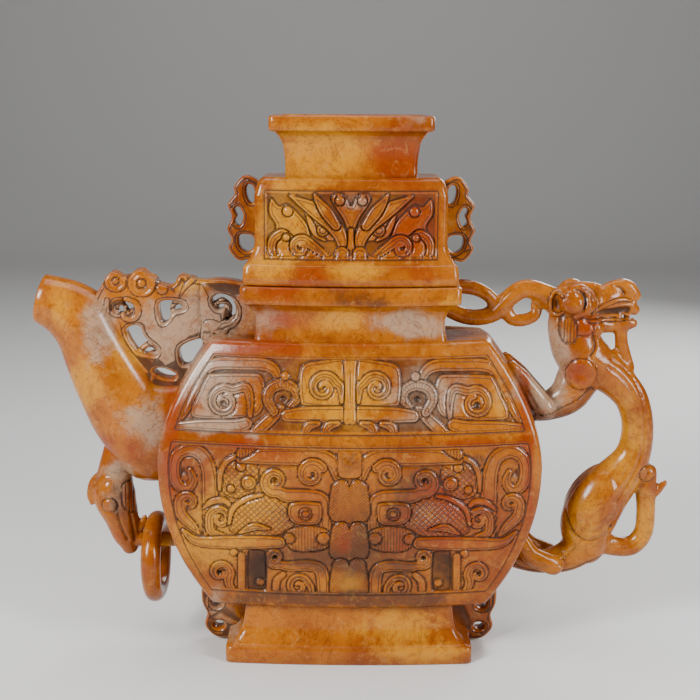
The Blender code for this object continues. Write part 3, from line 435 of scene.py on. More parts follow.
def addPiece(name, whole, cadNodes, shade):
    # The finished mesh with its carving channels and stains, and what it stands for in the part
    stain(whole)
    mesh = buildMesh(name, whole["quads"], whole["fans"], whole["points"])
    writeValues(mesh, channels + tuple(stains), whole)
    mesh.materials.append(shade)
    piece = placed(name, mesh)
    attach(piece, "root")
    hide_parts(*cadNodes)
    print(name, "has", 2 * len(whole["quads"]) + len(whole["fans"]), "triangles")


# Carving of the body's front, left half, in pixels of the photograph: x, y, width
lowerStrokes = {
    "hook": dict(way=[(209, 545, 9), (209.5, 530, 13), (210, 510, 15.5), (210, 490, 16), (208.5, 470, 15),
                      (202, 455.5, 14), (189, 450, 13), (177, 456, 12), (173.5, 470, 12), (177, 484, 12),
                      (186, 489, 11), (193, 481, 9), (190, 471, 7)], lined=True, main=True),
    "hook eye": dict(hole=(183, 472, 2.2, 4.4), depth=1.3),
    "side curl": dict(way=[(199, 534, 4), (192, 526, 10), (182, 516, 12)] +
                      curl(188, 503, 9.5, 2.5, 205, -340, 11, 6), lined=True, main=True),
    "side curl eye": dict(hole=(188, 507, 3.2, 2.2), depth=1.2),
    "arch": dict(way=[(223, 537, 8), (211, 532, 9)] + curl(220, 519, 11.5, 3, 200, -440, 9, 5), top=-0.05,
                 lined=True, main=True),
    "arch top": dict(way=[(203, 509, 3), (212, 502, 7), (224, 501, 7), (231, 508, 4)], top=-0.1),
    "leaf": dict(outline=[(219, 483), (222, 468), (231, 460), (244, 457.5), (253, 461), (258.5, 470),
                          (257, 486), (249, 496.5), (236, 499), (224, 494)], hatch=1.0, top=-0.05, crown=0.35,
                 cut=1.0, main=True, slanted=True),
    "leaf rim": dict(way=[(219.5, 490, 4), (220.5, 473, 6), (227, 461.5, 6), (240, 456.5, 5), (252, 459, 3)],
                     top=0.2),
    "leaf bead": dict(bead=(248.6, 483, 7.4), top=0.75, lined=True),
    "leaf top bead": dict(bead=(241, 467, 5)),
    "leaf low bead": dict(bead=(231, 489, 4.4)),
    "cheek": dict(outline=[(228, 517), (233, 506), (245, 498), (260, 493.5), (278, 497), (292, 503),
                           (296, 521), (288, 532), (274, 536), (250, 536.5), (231, 532)], hatch=1.0,
                  top=-0.05, crown=0.45, cut=1.0, main=True, slanted=True),
    "cheek rim": dict(way=[(229, 524, 4), (233, 509, 6), (247, 499, 6), (262, 495.5, 4)], top=0.2),
    "cheek leaf": dict(way=[(240, 533, 4), (254, 527, 9), (270, 529, 3)], top=0.35, moat=0.4, lined=True),
    "brow": dict(way=[(325, 539, 10), (325.5, 524, 12), (325.5, 508, 13), (319, 498.5, 14), (302, 497, 15),
                      (286, 496, 14)] + curl(275, 481.5, 12, 4, 290, -400, 12, 6), lined=True, main=True),
    "brow eye": dict(hole=(275.5, 481.5, 2.6, 2.6), depth=1.3),
    "bridge": dict(way=[(240, 460, 8), (252, 457.5, 14), (272, 457, 17), (300, 457.5, 17), (320, 458, 17),
                        (333, 464, 14), (337, 478, 8)], lined=True, main=True),
    "bridge curl": dict(way=curl(311.5, 474.5, 12.5, 2.5, 30, 540, 10, 5), lined=True, main=True),
    "bridge fan": dict(outline=[(236, 454), (241, 446), (252, 444), (257, 448), (250, 455), (240, 459)],
                       hair=1.0),
    "eye": dict(outline=[(289, 505), (300, 502), (314, 502.5), (321.5, 505), (321.5, 520), (316, 525),
                         (303, 525.5), (293, 523.5), (288, 516)], crown=0.4, lined=True, cut=1.3, main=True),
    "pupil ring": dict(bead=(305.6, 514.3, 6.6), top=0.25, cut=1.1, edge=1.2),
    "pupil": dict(bead=(305.6, 514.3, 3.6), top=0.6, cut=0.5),
    "nose wing": dict(outline=[(283, 537), (289, 530), (302, 527), (316, 527), (328, 531), (331.5, 539),
                               (326, 549), (308, 552.5), (291, 550)], crown=0.4, hair=0.8, main=True),
    "nose bead": dict(bead=(289, 539, 6)),
    "nostril bead": dict(bead=(323.5, 539, 6.6), top=0.5, main=True),
    "jaw": dict(way=[(183, 531, 5), (197, 541.5, 11), (225, 543, 15), (258, 543, 15), (279, 543, 13)],
                lined=True, main=True),
    "jaw bead": dict(bead=(234, 553, 4.6)),
    "lip": dict(way=[(323, 597, 12), (323, 582, 13), (320, 570, 13), (308, 566, 13), (290, 567, 12)]
                + curl(275.5, 558, 8.6, 3, 300, -380, 10, 5), lined=True, main=True),
    "lip eye": dict(hole=(275.5, 558, 2.2, 2.2), depth=1.2),
    "chin frame": dict(way=[(276, 597, 7), (276.5, 582, 8), (283, 575, 7)], top=-0.1),
    "chin curl": dict(way=[(312, 597, 6), (311, 588, 7)] + curl(298, 587, 11, 2.5, 15, 470, 8, 5), top=-0.1,
                      lined=True, main=True),
    "window": dict(outline=[(248, 556), (251, 552), (262, 552), (265.5, 556), (265.5, 586), (262, 590),
                            (252, 590), (248, 586)], top=-1.2, cut=1.8, edge=0.6),
    "window curl": dict(bead=(260, 583, 5), top=-0.2, cut=1.6),
    "window frame": dict(way=[(241.5, 594, 8), (241.5, 556, 8)], top=-0.1),
    "corner curl": dict(way=[(240, 594, 5), (231, 588, 8)] + curl(220, 573, 11, 3, 320, 400, 10, 5),
                        lined=True, main=True),
    "corner eye": dict(hole=(220, 573, 2.4, 2)),
    "nose root": dict(outline=[(339, 449), (352, 448), (366, 449), (368, 464), (365, 477), (352, 479.5),
                               (339, 477), (337.5, 464)], crown=0.3, top=0.1, main=True),
    "root cut": dict(way=[(342, 452, 1.4), (352, 463, 2.2), (362, 452, 1.4)], groove=0.7),
    "nose top": dict(outline=[(331.5, 521), (331, 490), (335, 483), (341, 480), (347, 482), (350.5, 488),
                              (354, 482), (360, 480), (366, 483), (370, 490), (369.5, 521)], crown=0.45,
                     top=0.15, hair=1.0, main=True, slanted=True),
    "nose middle": dict(outline=[(332, 558.5), (331.5, 531), (335, 524.5), (341, 522), (347, 524),
                                 (350.5, 530), (354, 524), (360, 522), (366, 524.5), (369.5, 531),
                                 (369, 558.5)], crown=0.45,
                        top=0.15, hair=1.0, main=True, slanted=True),
    "nose end": dict(outline=[(332, 597), (332, 568), (335, 561), (341, 558.5), (347, 561), (350.5, 567),
                              (354, 561), (360, 558.5), (366, 561), (369, 568), (369, 597)], crown=0.45,
                     top=0.15, hair=1.0, main=True, slanted=True),
}
upperStrokes = {
    "outer ribbon": dict(way=[(177, 421, 9), (185, 407, 12), (196, 386, 12), (206, 369, 12), (217, 364, 12),
                              (240, 364, 12), (262, 364.5, 12), (273, 369, 11), (279, 378, 9)], lined=True,
                         main=True),
    "plate": dict(outline=[(191, 411), (198, 394), (206, 377), (213, 373.5), (254, 373.5), (262, 377),
                           (265, 390), (263, 408), (255, 417), (238, 419), (198, 419)], lined=True, top=-0.05,
                  main=True),
    "plate spiral": dict(way=[(250, 417, 5), (250, 400, 8), (246, 388, 9)] +
                         curl(224, 402, 14.5, 7, 55, 380, 9, 6), top=0.1, cut=1.0, lined=True, main=True),
    "plate eye": dict(hole=(223, 404, 4, 3.6), depth=1.4),
    "bottom ribbon": dict(way=[(176, 427.5, 11), (200, 427, 14), (232, 427, 14), (246, 424, 12)], lined=True,
                          main=True),
    "leg": dict(way=[(252, 435, 8), (262, 427, 12), (273, 417, 11), (281, 409, 8)], lined=True, main=True),
    "scroll": dict(way=[(274, 412, 9), (267.5, 400, 10), (271, 389, 11), (283, 384.5, 11), (294, 389, 10),
                        (297, 399, 9), (290, 407, 6)], top=0.0, hair=0.6, lined=True, main=True),
    "scroll eye": dict(hole=(283, 399.5, 3, 3), depth=1.4),
    "top bead": dict(bead=(285, 376, 4.6)),
    "shield": dict(outline=[(300, 400), (299.5, 374), (304, 365), (316, 361.5), (355, 361), (355, 406),
                            (308, 406.5)],
                   top=-0.05, lined=True, main=True),
    "shield spiral": dict(way=[(342, 402, 5), (341, 388, 8)] + curl(323.5, 388, 14, 3, 20, 500, 9, 5),
                          top=0.3, cut=0.9, lined=True, main=True),
    "shield eye": dict(hole=(323.5, 388.5, 2, 2), depth=0.9),
    "cross band": dict(way=[(287, 416, 12), (304, 415, 15), (330, 415, 16), (354, 415, 16)], lined=True,
                       main=True),
    "left leg": dict(way=[(305, 437, 7), (308, 427, 9), (318, 424, 6)], lined=True),
    "right leg": dict(way=[(325, 437, 7), (328, 427, 9), (338, 424, 6)], lined=True),
    "ridge": dict(way=[(347.5, 362, 8), (347.5, 378, 6), (347.5, 400, 6), (347.5, 421, 8)], top=0.5,
                  main=True),
}


def carvePanel(sheet, inset, floor, strokes, placer, plain, margin):
    # The ground sinks by the floor inside the frame, the
    # strokes are cut into it and a line runs round the frame
    sheet["height"] -= floor * smoothStep(-0.1, 0.7, inset)
    carveAll(sheet, strokes, placer, plain, inset > margin)
    rim = np.abs(inset + frameLine["out"]) < frameLine["half"]
    sheet["line"][rim] = inset[rim] + frameLine["out"]


def carveFaces(x, y, z, rows, columns, cutFace):
    # The front is cut in full and the back plainer, both from the left half; y moves by the carved height
    sheet = newSurface(x, z)
    front, side, back, turn = columns
    backStart = front + 1 + 2 * turn + side + 1
    for first, count, plain, sign in ((0, front, False, -1), (backStart, back, True, 1)):
        part = slice(first, first + count + 1)
        carved = newSurface(-np.abs(x[rows, part]), z[rows, part])
        cutFace(carved, plain)
        for name in channels:
            sheet[name][rows, part] = carved[name]
        y[rows, part] += sign * carved["height"]
    return sheet


def carveVessel(sheet, plain):
    # inset is the distance into a panel: the least of half width - frame - |x|, top - z and z - bottom
    x, z = sheet["x"], sheet["z"]
    width = bodySize(z)[0]
    for (low, high), floor, strokes in ((body["lowerPanel"], body["lowerFloor"], lowerStrokes),
                                        (body["upperPanel"], body["upperFloor"], upperStrokes)):
        inset = np.minimum(np.minimum(width - body["frame"] + x, high - z), z - low)
        carvePanel(sheet, inset, floor, strokes, faceOf(bodyFace), plain, 0.3)


def bodyShell():
    # Rows climb the outside from the bottom's middle, cross the shoulder and go down the cavity to its floor
    columns, ends = body["columns"], (body["sideBow"], body["corner"])
    heights = np.concatenate([np.linspace(*span) for span in body["rows"]]
                             + [np.linspace(body["shoulder"], body["top"] - body["edge"], 4)])
    width, depth, bow = bodySize(heights)
    rows = [sectionRows(*body["underside"], *ends, columns),
            sectionRows(heights, width, depth, bow, *ends, columns)]
    topWidth, topDepth, topBow = body["atTop"]
    for height, inset in body["rim"]:
        rows.append(sectionRows(height, topWidth - inset, topDepth - inset, topBow, *ends, columns))
    mouth = (neck["halfWidth"] - body["wall"], neck["halfDepth"] - body["wall"], neck["bow"])
    for height in body["mouthRows"]:
        rows.append(sectionRows(height, *mouth, 0.0, body["corner"], columns))
    inner = np.array(body["cavityRows"])
    width, depth, bow = bodySize(inner)
    rows.append(sectionRows(inner, width - body["wall"], depth - body["wall"], bow, 0.0, body["corner"],
                            columns))
    x, y, z = (np.vstack([r[i] for r in rows]) for i in range(3))
    sheet = carveFaces(x, y, z, slice(1, 1 + len(heights)), columns, carveVessel)
    return gridShell(x, y, z, (0, 0, body["bottom"]), (0, 0, inner[-1]), sheet=sheet)


def neckShell():
    # A closed band: up the waisted neck and the collar, over its top and down the mouth
    cove = smoothLine(neckCove, 4)
    rise, reach = np.clip(cove[:, 0], 0, 1), np.clip(cove[:, 1], 0, 1)
    base, top = neck["foot"], body["top"] + neck["height"]
    rim = top + neck["collar"]
    height = np.concatenate([base + (top - base) * rise,
                             [top + 0.35, top + 1.0, rim - 1.0, rim - 0.3, rim, rim]])
    out = np.concatenate([reach * neck["coveReach"], neck["rimReach"]])
    inset = np.array(neck["mouthInset"]) + body["wall"]
    width = np.concatenate([neck["halfWidth"] + neck["reach"] * out, neck["halfWidth"] - inset])
    depth = np.concatenate([neck["halfDepth"] + neck["frontReach"] * out, neck["halfDepth"] - inset])
    height = np.concatenate([height, [rim, rim - 0.4, base + 12, base]])
    x, y, z = sectionRows(height, width, depth, neck["bow"], 0.0, neck["corner"], plainColumns)
    return gridShell(x, y, z, closedRows=True)


def footShell():
    # Rows from the middle of the underside over the base band and up the cove into the belly
    band, cove = foot["band"], smoothLine(footCove, 3)
    inset = np.array(foot["bandInset"])
    height = np.concatenate([[0.0, 0.0, 0.5, band - 1.0, band - 0.3, band],
                             band + (body["bottom"] - band) * cove[:, 0]])
    width = np.concatenate([foot["halfWidth"] - inset,
                            foot["waist"] + (foot["halfWidth"] - foot["waist"]) * cove[:, 1]])
    depth = np.concatenate([foot["halfDepth"] - inset,
                            foot["waistDepth"] + (foot["halfDepth"] - foot["waistDepth"]) * cove[:, 1]])
    x, y, z = sectionRows(height, width, depth, foot["bow"], 0.0, foot["corner"], plainColumns)
    return gridShell(x, y, z, (0, 0, 0), (0, 0, float(height[-1])))


# Spout: upper edge, lower edge and half depth of each station
spout = {"stations": ((-70, 118, -72, 74, 13), (-80.5, 117.5, -91.5, 74.5, 14), (-85, 123, -106, 91, 12.5),
                      (-90, 131, -113.5, 107, 11.5), (-95.5, 141, -119, 122.5, 11),
                      (-102, 152.5, -122, 132.5, 10.5), (-112, 159, -126, 138.5, 9.8),
                      (-126, 162.5, -131.2, 142.5, 9.2)),
         "wall": 4.2, "around": 56, "rimInset": (0.35, 1.3, 3.0), "rimOut": (0.45, 0.8, 0.7), "boreEnd": 5.0}


def spoutShell():
    # Ellipses between the upper and the lower edge from the root to the mouth, then back down the bore
    outer = smoothLine(spout["stations"], 5)
    bore = outer[::-3].copy()
    topX, topZ, lowX, lowZ, depth = np.vstack([outer, np.repeat(outer[-1:], 3, axis=0), bore]).T
    inset = np.concatenate([np.zeros(len(outer)), spout["rimInset"], np.full(len(bore), spout["wall"])])
    inset[-2:] += spout["boreEnd"]
    out = np.concatenate([np.zeros(len(outer)), spout["rimOut"], np.zeros(len(bore))])
    reachX, reachZ = 0.5 * (topX - lowX), 0.5 * (topZ - lowZ)
    half = np.hypot(reachX, reachZ)
    share = 1 - inset / half
    angle = np.linspace(0, 2 * math.pi, spout["around"], endpoint=False)[None]
    axisX, axisZ = -reachZ / half, reachX / half
    x = (0.5 * (topX + lowX) + out * axisX)[:, None] + (reachX * share)[:, None] * np.cos(angle)
    z = (0.5 * (topZ + lowZ) + out * axisZ)[:, None] + (reachZ * share)[:, None] * np.cos(angle)
    y = (depth - inset)[:, None] * np.sin(angle)
    return gridShell(x, y, z, closedRows=True)


def limbShell(stations, y=0.0, flat=0.82, around=20, steps=5):
    # A circle of radius r about each point of a smooth path x, z, r, thinned in depth, with round ends whose
    # rings lie r sin b past the end with radius r cos b
    path = smoothLine(stations, steps)
    run = np.gradient(path[:, :2], axis=0)
    run /= np.linalg.norm(run, axis=1)[:, None]
    bend = np.radians(endBends)[:, None]
    caps = [np.hstack([path[i, :2] + sign * run[i] * path[i, 2] * np.sin(bend), path[i, 2] * np.cos(bend)])
            for i, sign in ((0, -1), (-1, 1))]
    path = np.vstack([caps[0], path, caps[1][::-1]])
    run = np.vstack([np.repeat(run[:1], 3, 0), run, np.repeat(run[-1:], 3, 0)])
    angle = np.linspace(0, 2 * math.pi, around, endpoint=False)[None]
    radius = path[:, 2:3]
    x = path[:, :1] - run[:, 1:] * radius * np.cos(angle)
    z = path[:, 1:2] + run[:, :1] * radius * np.cos(angle)
    depth = y + flat * radius * np.sin(angle)
    return gridShell(x, depth, z, *[(path[i, 0], y, path[i, 1]) for i in (0, -1)])


def readMesh(item):
    # Vertices, normals, triangles and carving channels of an
    # object with its modifiers applied; the object goes
    mesh = bpy.data.meshes.new_from_object(item.evaluated_get(bpy.context.evaluated_depsgraph_get()))
    mesh.calc_loop_triangles()
    points, normals = np.zeros(len(mesh.vertices) * 3), np.zeros(len(mesh.vertices) * 3)
    faces = np.zeros(len(mesh.loop_triangles) * 3, int)
    mesh.vertices.foreach_get("co", points)
    mesh.vertices.foreach_get("normal", normals)
    mesh.loop_triangles.foreach_get("vertices", faces)
    values = {name: np.zeros(len(mesh.vertices)) for name in channels if name in mesh.attributes}
    for name in values:
        mesh.attributes[name].data.foreach_get("value", values[name])
    bpy.data.objects.remove(item)
    bpy.data.meshes.remove(mesh)
    return points.reshape(-1, 3), normals.reshape(-1, 3), faces.reshape(-1, 3), values


def plateShell(name, outline, holes, halfThickness):
    # A smooth closed outline with its holes, filled and thickened, stood upright
    curve = bpy.data.curves.new(name, "CURVE")
    curve.dimensions = "2D"
    curve.fill_mode = "BOTH"
    curve.extrude = halfThickness
    for loop in [outline] + list(holes):
        line = curve.splines.new("POLY")
        line.points.add(len(loop) - 1)
        line.points.foreach_set("co",
                                np.column_stack([loop, np.zeros(len(loop)), np.ones(len(loop))]).ravel())
        line.use_cyclic_u = True
    points, _, faces, _ = readMesh(placed(name, curve))
    return shell(points[:, [0, 2, 1]], noQuads, faces)


def figure(name, shells, form, detail):
    # The closed shells are melted into one skin on a grid of voxels and smoothed, the detail is cut into it
    # along its normals where they face the front or the back, and it is thinned to its budget of triangles
    whole = joined(shells)
    item = placed(name, buildMesh(name, whole["quads"], whole["fans"], whole["points"]))
    melt = item.modifiers.new("Melt", "REMESH")
    melt.mode = "VOXEL"
    melt.voxel_size = form["voxel"] * 0.001
    soften = item.modifiers.new("Soften", "SMOOTH")
    soften.factor = 0.5
    soften.iterations = form["smooth"]
    points, normals, faces, _ = readMesh(item)
    points = points * 1000
    sheet = newSurface(points[:, 0], points[:, 2])
    detail(sheet, points)
    facing = smoothStep(*facingEdge, np.abs(normals[:, 1]))
    points += normals * (sheet["height"] * facing)[:, None]
    mesh = buildMesh(name, noQuads, faces, points)
    writeValues(mesh, channels, sheet)
    item = placed(name, mesh)
    keep = min(1.0, form["budget"] / len(faces))
    item.modifiers.new("Thin", "DECIMATE").ratio = keep
    points, _, faces, values = readMesh(item)
    print(name, "thinned to", len(faces), "triangles, share", round(keep, 2))
    return {**shell(points * 1000, noQuads, faces), **values}


dragon = {
    "limbs": [
        ((93, 151, 9.3), (92, 141, 9.6), (97, 130, 11.0), (107, 123, 8.8), (115, 116, 7.4), (120, 109, 6.9),
         (122.6, 98, 6.8), (121.3, 86, 7.6), (115.5, 76, 9.8), (107.5, 66, 12.2), (103, 54, 11.6),
         (103, 45, 9.0)),
        ((40, 158.5, 3.2), (50, 158, 3.1), (57, 154.8, 2.8), (60.5, 150, 2.8)),
        ((38, 150, 3.2), (46.5, 146.2, 3.4), (53.5, 145.4, 3.5), (60.5, 147.6, 3.7), (66, 153.8, 3.9),
         (72.5, 157.6, 4.0), (80, 155.5, 4.4), (87, 151, 6.0)),
        ((64.5, 149.5, 2.6), (67, 145, 2.8), (72.5, 144.4, 2.7), (77.3, 147, 2.4), (76, 151, 1.4)),
        ((93, 151.5, 9.4), (102, 152.4, 6.8), (109, 151.8, 5.8), (115, 150.8, 4.0), (118.2, 149, 2.4)),
        ((104, 155.5, 3.0), (109, 158, 3.4), (114.5, 158.4, 3.4), (118.2, 155, 2.6)),
        ((96, 144, 5.8), (104, 142.8, 3.8), (111, 142.2, 2.9), (117.8, 143.2, 2.2)),
        ((84, 152, 4.6), (92, 157.2, 3.4), (100, 158, 2.6), (105, 157, 1.8)),
        ((113.5, 143.5, 2.3), (113.4, 136, 2.8), (115, 130, 2.8), (117.5, 124, 2.4)),
        ((97, 121, 9.5), (92, 112, 8.2), (83, 107, 6.2), (73, 106, 5.2), (66, 106, 4.6)),
        ((104, 50, 10.0), (97, 40.5, 7.4), (86, 36.8, 5.4), (76, 37.6, 4.8), (66, 41, 4.4)),
        ((106, 47, 5.0), (116, 44.2, 4.6), (123.5, 44.6, 4.4), (128, 51, 4.2), (128.4, 61, 4.1),
         (127.8, 70, 4.4), (128.4, 78, 3.8)),
        ((128.2, 68, 3.4), (132, 69.4, 2.4), (136, 73.4, 1.2))],
    "pairs": [(((91.5, 152, 5.4), (95.5, 151.5, 5.8)), 4.8), (((97, 141, 4.4), (101, 141.6, 4.0)), 4.2),
              (((111.2, 148, 1.1), (111.6, 144.4, 0.7)), 2.2),
              (((115.2, 147.6, 1.0), (115.5, 144.8, 0.6)), 2.0),
              (((82, 108, 4.4), (76.5, 114.5, 4.2), (71.5, 121, 3.6), (66.5, 126.5, 2.6)), 8.0),
              (((88, 38, 4.4), (78.5, 42.5, 4.2), (74.5, 48.5, 3.4), (71.5, 52.5, 2.4)), 7.5),
              (((87, 154.5, 2.2), (92.5, 158.4, 2.8), (98.5, 156.4, 1.8)), 6.5)],
    "nearDepth": -7.0, "reach": math.inf, "heights": (-1.6, 1.8), "voxel": 0.75, "smooth": 3, "budget": 24500}
dragonStrokes = {
    "thigh": dict(outline=[(566, 505), (572, 484), (588, 472), (606, 472), (616, 486), (614, 508), (600, 524),
                           (580, 528)], top=0.9, cut=0.1, edge=3.5, moat=0.5),
    "chest ball": dict(outline=[(566, 374), (570, 362), (580, 357), (592, 361), (597, 373), (592, 385),
                                (580, 390), (569, 385)], top=1.4, cut=0.4, edge=2.6, moat=0.8),
    "cheek": dict(outline=[(573, 327), (577, 320), (585, 318), (593, 323), (594, 331), (586, 336),
                           (576, 334)],
                  top=1.1, cut=0.5, edge=1.8, moat=0.7),
    "brow ball": dict(bead=(571, 302, 12.5), top=1.6, cut=0.5, edge=3.6, moat=0.7),
    "brow crease": dict(way=[(576, 289, 1.4), (585, 297, 3.4), (583, 310, 1.6)], groove=1.3),
    "wrinkle one": dict(way=[(584, 289, 1), (591, 294, 2.2), (593, 303, 1.2)], groove=0.85),
    "wrinkle two": dict(way=[(591, 288, 1), (597, 293, 2.2), (599, 302, 1.2)], groove=0.8),
    "wrinkle three": dict(way=[(598, 288, 1), (603, 293, 2.2), (605, 301, 1.2)], groove=0.75),
    "nostril": dict(way=[(617, 287, 1), (623, 290, 3.4), (628, 297, 2)], groove=1.0),
    "upper lip": dict(way=[(592, 314, 3), (606, 306, 4.5), (622, 301, 4.5), (634, 303, 3)], top=0.8, cut=0.3,
                      edge=0.8, moat=0.5),
    "lower lip": dict(way=[(590, 322, 3), (606, 322, 4), (622, 322, 4), (634, 320, 3)], top=0.6, cut=0.3,
                      edge=0.8, moat=0.5),
    "mouth corner": dict(way=[(599, 315, 3), (610, 314, 7), (630, 312, 7)], groove=1.6),
    "ear": dict(way=[(563, 296, 4), (556, 294, 4.5), (552, 301, 4.5), (552.5, 311, 4.5), (558, 316, 4),
                     (564, 312, 3)], top=1.0, cut=0.4, edge=0.9, moat=0.5),
    "ear hollow": dict(hole=(558, 305, 3, 7), depth=1.2),
    "mane": dict(outline=[(560, 320), (570, 316), (576, 324), (577, 336), (570, 344), (561, 338)], top=0.2,
                 cut=0.3, edge=0.8, hair=1.0),
    "neck crease": dict(way=[(592, 333, 1), (596, 345, 2.4), (590, 356, 1.6)], groove=1.2),
    "beard groove": dict(way=[(618, 326, 1), (617, 345, 1.6), (625, 358, 1)], groove=0.5),
    "shoulder line": dict(way=[(553, 352, 1), (557, 372, 1.8), (553, 392, 1.6), (540, 402, 1)], groove=0.6),
    "foreleg groove": dict(way=[(590, 392, 1), (574, 402, 1.8), (555, 408, 1.6), (538, 411, 1)], groove=0.5),
    "foreleg fringe": dict(outline=[(596, 394), (589, 405), (574, 415), (552, 422), (536, 424), (538, 414),
                                    (560, 409), (580, 399), (590, 388)], top=0.0, cut=0.25, edge=0.8,
                           hair=1.0, slanted=True),
    "spine": dict(way=[(612, 360, 1), (630, 374, 1.4), (642, 394, 1.4), (646, 420, 1.4), (644, 446, 1.4),
                       (638, 466, 1.4), (626, 486, 1.2), (616, 500, 1)], groove=0.7),
    "spine twin": dict(way=[(607, 366, 1), (624, 380, 1.2), (635, 398, 1.2), (639, 421, 1.2), (637, 444, 1.2),
                            (631, 462, 1.2), (620, 480, 1)], groove=0.55),
    "hip line": dict(way=[(566, 512, 1), (572, 530, 2), (586, 540, 1.6), (602, 536, 1)], groove=1.0),
    "hind leg line": dict(way=[(575, 548, 1), (560, 562, 1.6), (538, 566, 1.4), (518, 560, 1)], groove=0.5),
    "hind fringe": dict(outline=[(508, 561), (520, 570), (536, 574), (556, 575), (576, 570), (596, 560),
                                 (604, 562), (582, 577), (554, 582), (526, 580), (508, 568)], top=0.0,
                        cut=0.25, edge=0.8, hair=1.0),
    "paw line": dict(way=[(536, 406, 1), (528, 392, 1.6), (522, 380, 1.4), (518, 374, 1)], groove=0.5),
    "hind foot line": dict(way=[(536, 556, 1), (528, 547, 1.6), (524, 538, 1)], groove=0.5),
    "tail line": dict(way=[(616, 551, 1), (632, 550, 1.4), (643, 540, 1.4), (647, 520, 1.4), (646, 497, 1.2)],
                      groove=0.45),
    "tail root": dict(hole=(611, 527, 3, 3), depth=1.4),
    "tail knot": dict(bead=(649, 476, 9), top=1.0, cut=0.4, edge=2.6, moat=0.6),
    "ribbon one": dict(way=[(466, 312, 1), (476, 316, 1.4), (489, 314, 1.4), (500, 304, 1.2), (512, 291, 1.2),
                            (527, 286, 1.2), (546, 292, 1)], groove=0.4),
    "ribbon two": dict(way=[(464, 287, 1), (477, 287, 1.2), (487, 296, 1)], groove=0.35),
    "curl line": dict(way=[(508, 309, 1), (516, 318, 1.2), (528, 319, 1.2), (536, 311, 1)], groove=0.35),
}


def limbDetail(form, strokes):
    # The strokes are cut from the near side, left of the
    # form's reach, and the heights held between two limits
    def detail(sheet, points):
        carveAll(sheet, strokes, planeAt(form["nearDepth"]), within=points[:, 0] < form["reach"])
        sheet["height"] = np.clip(sheet["height"], *form["heights"])
    return detail


bird = {
    "limbs": [((-98, 88, 7.0), (-101, 76, 7.6), (-101.5, 66, 9.2), (-98.8, 56, 7.4), (-97, 48, 6.0),
               (-95.8, 43, 3.8)),
              ((-102, 77, 3.0), (-109.3, 72.8, 2.5), (-111.8, 66.4, 1.9), (-111.6, 62.2, 0.9)),
              ((-95, 46.2, 3.2), (-68, 46.2, 3.2)),
              ((-95, 50, 3.0), (-90.5, 52.4, 2.0), (-88.8, 56.2, 1.2))],
    "flats": (0.82, 0.62, 1.0, 0.8), "nearDepth": -6.5, "reach": -89.6, "heights": (-1.4, 1.5), "voxel": 0.6,
    "smooth": 3, "budget": 6000}
birdStrokes = {
    "eye": dict(bead=(110, 504.5, 8), top=1.3, cut=0.6, edge=2.2, moat=0.8),
    "eye socket": dict(way=[(101, 497, 2), (104, 511, 3), (115, 514, 2)], groove=0.6),
    "crest line": dict(way=[(112, 476, 1), (100, 477, 1.8), (92, 488, 1.4)], groove=0.6),
    "crest twin": dict(way=[(114, 482, 1), (104, 483, 1.6), (97, 492, 1)], groove=0.5),
    "neck ring": dict(way=[(108, 470, 2), (122, 474, 2.4), (140, 474, 2)], groove=0.5),
    "beak split": dict(way=[(118, 514, 1.6), (121, 528, 2.4), (127, 542, 2)], groove=0.9),
    "beak side": dict(way=[(129, 512, 1.4), (132, 528, 2), (134, 544, 1.6)], groove=0.6),
    "ear feathers": dict(outline=[(122, 486), (136, 484), (138, 500), (134, 514), (124, 508)], top=0.1,
                         cut=0.3, edge=0.8, hair=1.0),
    "temple": dict(hole=(118, 490, 4, 2.4), depth=0.7),
}


strut = {
    "half": 4.6, "voxel": 0.62, "smooth": 2, "budget": 10500, "lineInset": 1.5, "curlDepth": -2.0,
    "curlFlat": 2.2,
    "edge": (
        (-106, 150), (-103, 158), (-98, 164.2), (-93, 162), (-87, 164.8), (-81, 161.5), (-78, 158.8),
        (-73, 159), (-70.5, 163), (-66, 162), (-62, 160.8), (-54, 161.4), (-46, 160.4), (-38, 158),
        (-36, 146), (-37, 131), (-52, 128), (-64, 112), (-74, 104), (-92, 112), (-101, 132)),
    "holes": (
        ((-99.5, 149.7), (-96, 152.3), (-90.5, 151.3), (-89.8, 148.8), (-93, 147.7), (-97, 146.6)),
        ((-79, 151.6), (-70, 151.9), (-68.5, 149.1), (-74, 147.3), (-75.5, 144.2), (-78.5, 143.1)),
        ((-57.5, 152.6), (-54, 155.4), (-48.5, 153.2), (-47.5, 146.9), (-52, 143.8), (-51.5, 149.4),
         (-55, 148.5)),
        ((-93.5, 139.6), (-88, 141.9), (-85.5, 136.8), (-80.3, 132.1), (-81, 129.2), (-86, 129.6),
         (-89.5, 131.4)),
        ((-71, 132.5), (-63, 136.3), (-61.5, 134), (-66.5, 126), (-70.5, 125.5)),
        ((-82.5, 122.6), (-79, 123.8), (-73.5, 121.5), (-73.6, 119.2), (-79, 119.8)))}
strutCurls = (((134, 314, 5), (126, 317, 6), (117, 314, 6), (116, 306, 5), (122, 303.5, 4),
               (125.5, 308, 3.4)),
              ((189, 320, 6), (187, 309, 6), (179, 301.5, 6), (172, 307, 5), (174, 315, 4.4),
               (179.5, 315, 3.6)),
              ((139, 357, 6), (142, 349, 6), (149, 344.5, 6), (156, 348, 5), (155, 354.5, 4.4),
               (150.5, 353, 3.6)),
              ((222, 334, 7), (214, 324, 7), (213.5, 309, 6), (221, 301, 6), (229.5, 307, 5), (228, 316, 4.4),
               (222.5, 314, 3.6)))
